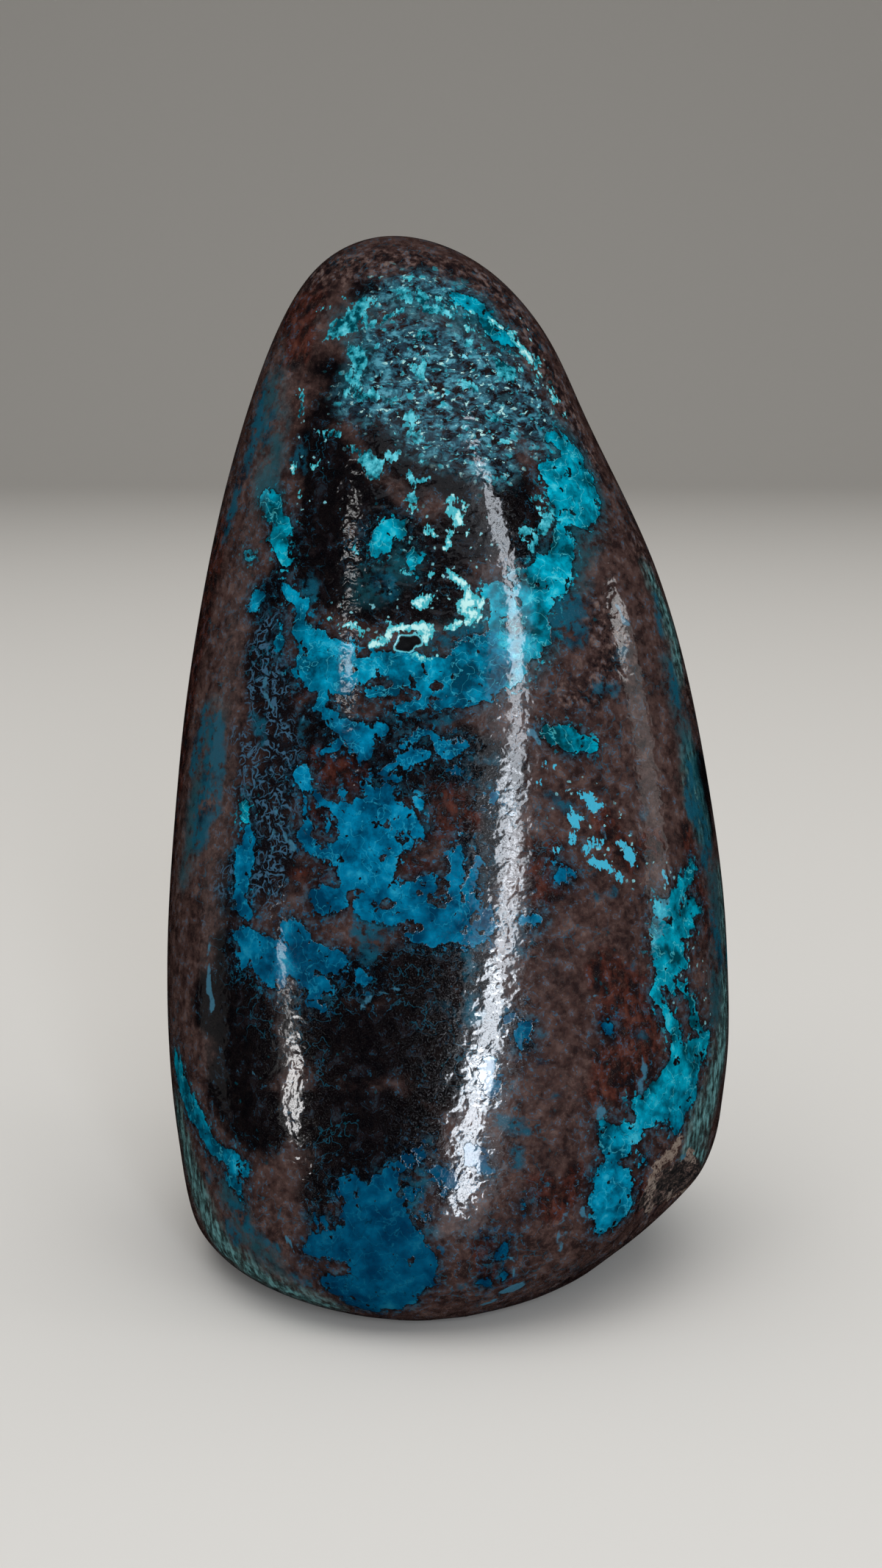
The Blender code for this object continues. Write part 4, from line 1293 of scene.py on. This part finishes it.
def mineralColour(place, colour, raw, field, nearest, ragged, grain, cloud, worms, blotch, rings, height):
    # The blue, teal, mint and jade minerals, with dark rims and scattered crumbs
    edge = finish["edge"]
    rim = (nearest + ragged).rise(-minerals["rimWidth"], 0) * minerals["rimCover"]
    colour = rim.blend(colour, tones["night"])
    spray = place.bent(*minerals["sprayBend"]).clouds(*minerals["sprayClouds"]).rise(*minerals["sprayStep"])
    sprayed = {}
    for name in ("azure", "teal"):
        sprayed[name] = raw[name].rise(*minerals["sprayReach"]) * spray * minerals["sprayCover"]
    mask = {name: field[name].rise(-edge, edge).most(sprayed[name]) for name in ("azure", "teal")}
    cracks = place.bent(*minerals["crackBend"]).threads(minerals["crackClouds"], minerals["crackWidth"])
    cracks = cracks * blotch.rise(*minerals["crackSpots"]) * minerals["crackCover"]
    cracks = cracks.most(rings * minerals["ringCover"])
    vein = place.bent(*minerals["veinBend"]).threads(minerals["veinClouds"], minerals["veinWidth"])
    shade = cloud * 0.6 + worms * 0.25 + grain * 0.15
    tealColour = shade.ramp(minerals["tealTones"])
    azureColour = shade.ramp(minerals["azureTones"])
    azureColour = (vein * minerals["veinCover"]).blend(azureColour, tones["azurePale"])
    tealColour = (vein * minerals["veinCover"]).blend(tealColour, tones["tealPale"])
    # Painted shade: the blue, and a little of the teal, are made darker towards the bottom
    lowShade = (1 - height.rise(*minerals["lowShade"])) * minerals["azureLowShade"]
    low = (1 - height.rise(*minerals["tealToAzure"])) * minerals["tealToAzureCover"]
    tealColour = low.blend(tealColour, azureColour)
    tealColour = (lowShade * minerals["tealLowShade"]).blend(tealColour, tones["tealDeep"])
    azureColour = lowShade.blend(azureColour, tones["azureShadedLow"])
    high = height.rise(*minerals["azureToTeal"]) * minerals["azureToTealCover"]
    azureColour = high.blend(azureColour, tealColour)
    tealColour = cracks.blend(tealColour, tones["duskDeep"])
    azureColour = cracks.blend(azureColour, tones["duskDeep"])
    colour = mask["teal"].blend(colour, tealColour)
    colour = mask["azure"].blend(colour, azureColour)
    mintMask = field["mint"].rise(-edge, edge)
    mintColour = (field["mint"] + (grain - 0.5) * minerals["mintFray"]).rise(*minerals["mintStep"])
    mintColour = mintColour.blend(tones["mint"], tones["mintLight"])
    mintColour = height.rise(*minerals["mintToCyan"]).blend(tones["cyan"], mintColour)
    colour = mintMask.blend(colour, mintColour)
    jadeColour = (grain * 0.6 + cloud * 0.4).ramp(minerals["jadeTones"])
    colour = field["jade"].rise(-edge, edge).blend(colour, jadeColour)
    return colour, mask, rim


openings = {
    "pitFray": 0.3,
    "pitEdge": (-0.08, 0.06),
    "lipFray": 0.5,
    "lipEdge": (-0.2, -0.12),
    "lipCover": 0.8,
    "hollowFray": 0.12,
    "hollowEdge": (-0.02, 0.06),
    # the hollow's holes, painted dark as shade
    "holeBend": (1.0, 0.8),
    "holeScale": 0.75,
    "holeFray": 0.6,
    "holeSize": (0.22, 0.34),
    "holeCover": 0.9,
    "floorClouds": (0.9, 5, 0.7),
    "floorTones": ((0.44, "tanDark"), (0.5, "umber"), (0.55, "tan"), (0.6, "pink"), (0.65, "tanLight")),
    "chalkTones": ((0.38, "tanDark"), (0.44, "fawn"), (0.49, "chalk"), (0.57, "tanLight")),
    "chalkFray": 1.4,
    "chalkEdge": (-0.1, 0.1),
}


def openingColour(place, colour, raw, ragged, fringe, grain, dust):
    # The small open pit with its light lip, and its inside painted black as shade
    shadedPitMask = (raw["pit"] + fringe * openings["pitFray"]).rise(*openings["pitEdge"])
    lip = (raw["pit"] + fringe * openings["lipFray"]).rise(*openings["lipEdge"]) * openings["lipCover"]
    colour = lip.blend(colour, tones["jadeLight"])
    colour = shadedPitMask.blend(colour, tones["night"])
    # The broken floor of the hollow, its holes painted dark as shade, and the chalky crust along its left
    # side
    roughMask = (raw["hollow"] + ragged * openings["hollowFray"]).rise(*openings["hollowEdge"])
    loose = place.bent(*openings["holeBend"])
    holes = loose.chips(grain, openings["holeScale"], openings["holeFray"], openings["holeSize"])
    broken = (place.clouds(*openings["floorClouds"]) * 0.6 + dust * 0.4).ramp(openings["floorTones"])
    broken = (holes * openings["holeCover"]).blend(broken, tones["tanDark"])
    colour = roughMask.blend(colour, broken)
    chalky = (grain * 0.6 + dust * 0.4).ramp(openings["chalkTones"])
    chalk = (raw["chalk"] + ragged * openings["chalkFray"]).rise(*openings["chalkEdge"])
    return chalk.blend(colour, chalky), shadedPitMask, roughMask


finish = {
    "edge": 0.05,  # half the width of a mineral's edge, in mm
    "waveClouds": (0.95, 2, 0.5),
    "waveSize": 1.5,  # how far the edges of the minerals wander, in mm
    "fringeClouds": (3.3, 2, 0.6),
    "fringeSize": 0.6,
    "holeBend": (0.9, 1.0),
    "holeClouds": (0.85, 2, 0.5),
    "holeShare": 0.64,  # a higher number leaves fewer dark holes in the minerals
    "holeSlope": 14.0,
    "holeHold": 0.4,  # how well the middle of a mark is kept from holes
    "shredStretch": (1.3, 1.3, 0.7),
    "shredClouds": (2.4, 2, 0.6),
    "shredSize": 1.3,
    "mintWave": 0.4,
    "mintLoss": 0.06,  # how much the mint specks shrink, in mm
    "jadeWave": 0.5,
    "jadeLoss": 0.1,
    "paleWave": 0.3,
    "paleFringe": 0.4,
    "grain": (1.4, 4, 0.6),
    "blotch": (0.3, 4, 0.6, 0.6),
    "fibreStretch": (1.0, 1.0, 0.28),
    "fibre": (1.5, 4, 0.6),
    "cloudBend": (0.3, 1.4),
    "cloud": (0.34, 4, 0.55),
    "dust": (5.0, 2, 0.6),
    "wormBend": (0.9, 1.2),
    "worms": (0.7, 4, 0.58),
    "ringStep": 0.035,  # the fall of the rock's fine relief from one contour line to the next
    "ringWidth": (0.001, 0.008),
    "matrixGloss": 0.06,
    "grainGloss": 0.05,
    "blueGloss": 0.05,
    "hollowGloss": 0.8,
    "ringGloss": 0.3,
    "blueCalm": 0.5,  # how much calmer the blue's surface is than the rock's
    "rippleBend": (0.9, 1.2),
    "rippleClouds": (0.85, 1, 0.5),
    "rippleHeight": 0.04,
    "dustHeight": 0.0005,
    "rimDepth": 0.003,
    "hollowDust": 0.12,
    "hollowGrain": 0.3,
    "shine": 0.35,
    "ior": 1.5,
}


def stoneMaterial():
    material = bpy.data.materials.new("polishedChrysocolla")
    material.use_nodes = True
    tree = material.node_tree
    shader = tree.nodes["Principled BSDF"]
    start = Strand(tree)
    metres = start.node("ShaderNodeTexCoord", "Object", {})
    scaled = {0: metres, "Scale": 1 / mm}
    place = start.node("ShaderNodeVectorMath", 0, scaled, {"operation": "SCALE"})
    height = place.node("ShaderNodeSeparateXYZ", 2, {0: place})

    # The marks' distances, as they are and with their edges made natural
    wave = (place.clouds(*finish["waveClouds"]) - 0.5) * finish["waveSize"]
    fringe = (place.clouds(*finish["fringeClouds"]) - 0.5) * finish["fringeSize"]
    ragged = wave + fringe
    raw = {name: start.node("ShaderNodeAttribute", "Fac", {}, {"attribute_name": name}) for name in fields}
    field = {name: strand + ragged for name, strand in raw.items()}
    holes = finish["holeShare"] - place.bent(*finish["holeBend"]).clouds(*finish["holeClouds"])
    holes = holes * finish["holeSlope"]
    for name in ("azure", "teal"):
        field[name] = field[name].least(raw[name] * finish["holeHold"] + holes)
    shred = place.stretched(*finish["shredStretch"]).clouds(*finish["shredClouds"])
    shred = (shred - 0.5) * finish["shredSize"]
    field["mint"] = raw["mint"] + wave * finish["mintWave"] + shred - finish["mintLoss"]
    field["jade"] = raw["jade"] + wave * finish["jadeWave"] + shred - finish["jadeLoss"]
    field["pale"] = raw["pale"] + wave * finish["paleWave"] + fringe * finish["paleFringe"]

    grain = place.clouds(*finish["grain"])
    blotch = place.clouds(*finish["blotch"])
    fibre = place.stretched(*finish["fibreStretch"]).clouds(*finish["fibre"])
    cloud = place.bent(*finish["cloudBend"]).clouds(*finish["cloud"])
    dust = place.clouds(*finish["dust"])
    worms = place.bent(*finish["wormBend"]).clouds(*finish["worms"])
    rings = 1 - worms.folded(finish["ringStep"]).rise(*finish["ringWidth"])

    nearest = raw["azure"].most(raw["teal"])
    colour = groundColour(place, field, grain, worms, fibre, blotch, rings)
    colour = laceColour(place, colour, field, grain)
    colour = haloColour(colour, nearest, raw["black"], grain, worms)
    colour = browColour(place, colour, field, grain)
    colour = speckColour(place, colour, field, grain, blotch)
    colour = dullColour(colour, field, grain, fibre, cloud)
    colour, mask, rim = mineralColour(
        place, colour, raw, field, nearest, ragged, grain, cloud, worms, blotch, rings, height
    )
    colour, shadedPitMask, roughMask = openingColour(place, colour, raw, ragged, fringe, grain, dust)

    blue = mask["teal"].most(mask["azure"])
    matrixGloss = finish["matrixGloss"]
    gloss = grain * finish["grainGloss"] + (matrixGloss - finish["grainGloss"] / 2)
    gloss = gloss + blue * (finish["blueGloss"] - matrixGloss)
    gloss = gloss + roughMask.most(shadedPitMask) * (finish["hollowGloss"] - matrixGloss)
    gloss = gloss + rings * (1 - blue * finish["blueCalm"]) * finish["ringGloss"]
    ripple = place.bent(*finish["rippleBend"]).clouds(*finish["rippleClouds"]) * finish["rippleHeight"]
    ripple = ripple + dust * finish["dustHeight"]
    relief = ripple * (1 - blue * finish["blueCalm"]) - rim * finish["rimDepth"]
    relief = relief + roughMask * (dust * finish["hollowDust"] + grain * finish["hollowGrain"])
    normal = start.node("ShaderNodeBump", 0, {"Strength": 1.0, "Distance": mm, "Height": relief})
    tree.links.new(colour.socket, shader.inputs["Base Color"])
    tree.links.new(gloss.socket, shader.inputs["Roughness"])
    tree.links.new(normal.socket, shader.inputs["Normal"])
    shader.inputs["IOR"].default_value = finish["ior"]
    shader.inputs["Specular IOR Level"].default_value = finish["shine"]
    return material


stone.data.materials.append(stoneMaterial())
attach(stone, "root")
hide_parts("freeform_stone")
print("stone finished,", len(stone.data.polygons), "faces")

# The floor, with a backdrop that curves up far behind the stone
floorPlan = {
    "halfWidth": 3.0,
    "front": -2.0,
    "back": 1.6,
    "bend": 0.9,
    "height": 2.4,
    "segments": 24,
    "tone": (214, 211, 206),
    "roughness": 0.9,
}


def layFloor():
    bm = bmesh.new()
    wide = floorPlan["halfWidth"]
    corners = [
        bm.verts.new((-wide, floorPlan["front"], 0)),
        bm.verts.new((wide, floorPlan["front"], 0)),
        bm.verts.new((wide, floorPlan["back"], 0)),
        bm.verts.new((-wide, floorPlan["back"], 0)),
    ]
    flat = bm.faces.new(corners)
    rear = [edge for edge in flat.edges if all(vert.co.y > 0 for vert in edge.verts)]
    bmesh.ops.spin(
        bm, geom=rear, cent=(0, floorPlan["back"], floorPlan["bend"]), axis=(1, 0, 0),
        angle=math.radians(90), steps=floorPlan["segments"],
    )
    bendTop = floorPlan["bend"] - mm
    top = [edge for edge in bm.edges if all(vert.co.z > bendTop for vert in edge.verts)]
    wall = bmesh.ops.extrude_edge_only(bm, edges=top)
    raised = [part for part in wall["geom"] if isinstance(part, bmesh.types.BMVert)]
    bmesh.ops.translate(bm, vec=(0, 0, floorPlan["height"] - floorPlan["bend"]), verts=raised)
    bmesh.ops.recalc_face_normals(bm, faces=bm.faces[:])
    mesh = bpy.data.meshes.new("paleFloor")
    bm.to_mesh(mesh)
    bm.free()
    mesh.shade_smooth()
    floor = bpy.data.objects.new("paleFloor", mesh)
    bpy.context.scene.collection.objects.link(floor)
    material = bpy.data.materials.new("paleFloor")
    material.use_nodes = True
    shader = material.node_tree.nodes["Principled BSDF"]
    shader.inputs["Base Color"].default_value = paint(*floorPlan["tone"])
    shader.inputs["Roughness"].default_value = floorPlan["roughness"]
    shader.inputs["Specular IOR Level"].default_value = 0
    mesh.materials.append(material)
    floor.visible_glossy = False  # the polish stays deep, as in a dim room


layFloor()

# Soft lights, each given by where it is seen from the stone: angle to the right of the front and rise
# above the level in degrees, distance, width and height in metres, turn in degrees, and how bright its
# face is. The main ones share a cool tint.
lamps = {
    "main top": (17.5, 28, 0.8, 0.07, 0.24, -4, 13),
    "main upper": (13, 17.5, 0.8, 0.07, 0.12, -25, 19),
    "main middle": (8.5, 11, 0.8, 0.07, 0.14, -30, 26),
    "main lower": (3, 4, 0.8, 0.07, 0.17, -30, 30),
    "main arch": (-9, 33, 0.8, 0.5, 0.08, 0, 0.6),
    "main glow": (9, 12, 0.85, 0.24, 0.75, -22, 1.0),
    "left strip": (-54.5, 7.5, 0.8, 0.022, 0.13, 45, 8),
    "left strip foot": (-50.5, 0.4, 0.8, 0.052, 0.12, -12, 22),
    "left strip glow": (-53, 2, 0.85, 0.13, 0.2, 0, 0.6),
    "left high strip": (-35.5, 25.6, 0.8, 0.05, 0.02, 8, 10),
    "right panel": (80, 14, 0.8, 0.2, 0.28, 0, 1.3),
    "right high spot": (79, 22.5, 0.8, 0.18, 0.07, 10, 6),
    "left wall": (-94, 8, 0.8, 0.26, 0.6, 0, 0.2),
    "ceiling": (0, 88, 1.2, 1.6, 1.6, 0, 1.8),
}

aimHeight = 0.05
mainTint = (0.9, 0.97, 1.06)


def hangLamps():
    for name, (angle, rise, distance, width, height, turn, glow) in lamps.items():
        light = bpy.data.lights.new(name, "AREA")
        light.shape = "RECTANGLE"
        light.size = width
        light.size_y = height
        light.energy = glow * math.pi * width * height
        light.color = mainTint if name.startswith("main") else (1, 1, 1)
        lamp = bpy.data.objects.new(name, light)
        lamp.visible_glossy = name != "ceiling"
        across = math.radians(angle)
        up = math.radians(rise)
        toRight = math.sin(across) * math.cos(up)
        toFront = math.cos(across) * math.cos(up)
        toLamp = Vector((toRight, -toFront, math.sin(up)))
        lamp.location = Vector((0, 0, aimHeight)) + toLamp * distance
        facing = toLamp.to_track_quat("Z", "Y")
        lamp.rotation_euler = facing.to_euler()
        lamp.rotation_euler.rotate_axis("Z", math.radians(turn))
        bpy.context.scene.collection.objects.link(lamp)


hangLamps()

room = {
    "brightness": 0.22,
    "colour": (1.0, 0.98, 0.95, 1.0),
}


def fillRoom():
    world = bpy.data.worlds.new("softRoom")
    world.use_nodes = True
    background = world.node_tree.nodes["Background"]
    background.inputs["Color"].default_value = room["colour"]
    background.inputs["Strength"].default_value = room["brightness"]
    world.cycles_visibility.glossy = False
    bpy.context.scene.world = world


fillRoom()
print("floor and lights placed")

# The camera stands close to the stone, a little under its tip, and looks down
view = {
    "place": (-0.00075, -0.2109, 0.0904),
    "tilt": 79.0,
    "lens": 47.76,
    "sensor": 36.0,
    "nearest": 0.01,  # nothing closer than this is seen
}


def placeCamera():
    data = bpy.data.cameras.new("view")
    data.sensor_fit = "VERTICAL"
    data.sensor_height = view["sensor"]
    data.lens = view["lens"]
    data.clip_start = view["nearest"]
    camera = bpy.data.objects.new("view", data)
    camera.location = view["place"]
    camera.rotation_euler = (math.radians(view["tilt"]), 0, 0)
    bpy.context.scene.collection.objects.link(camera)
    bpy.context.scene.camera = camera


placeCamera()
bpy.context.scene.view_settings.view_transform = "Standard"
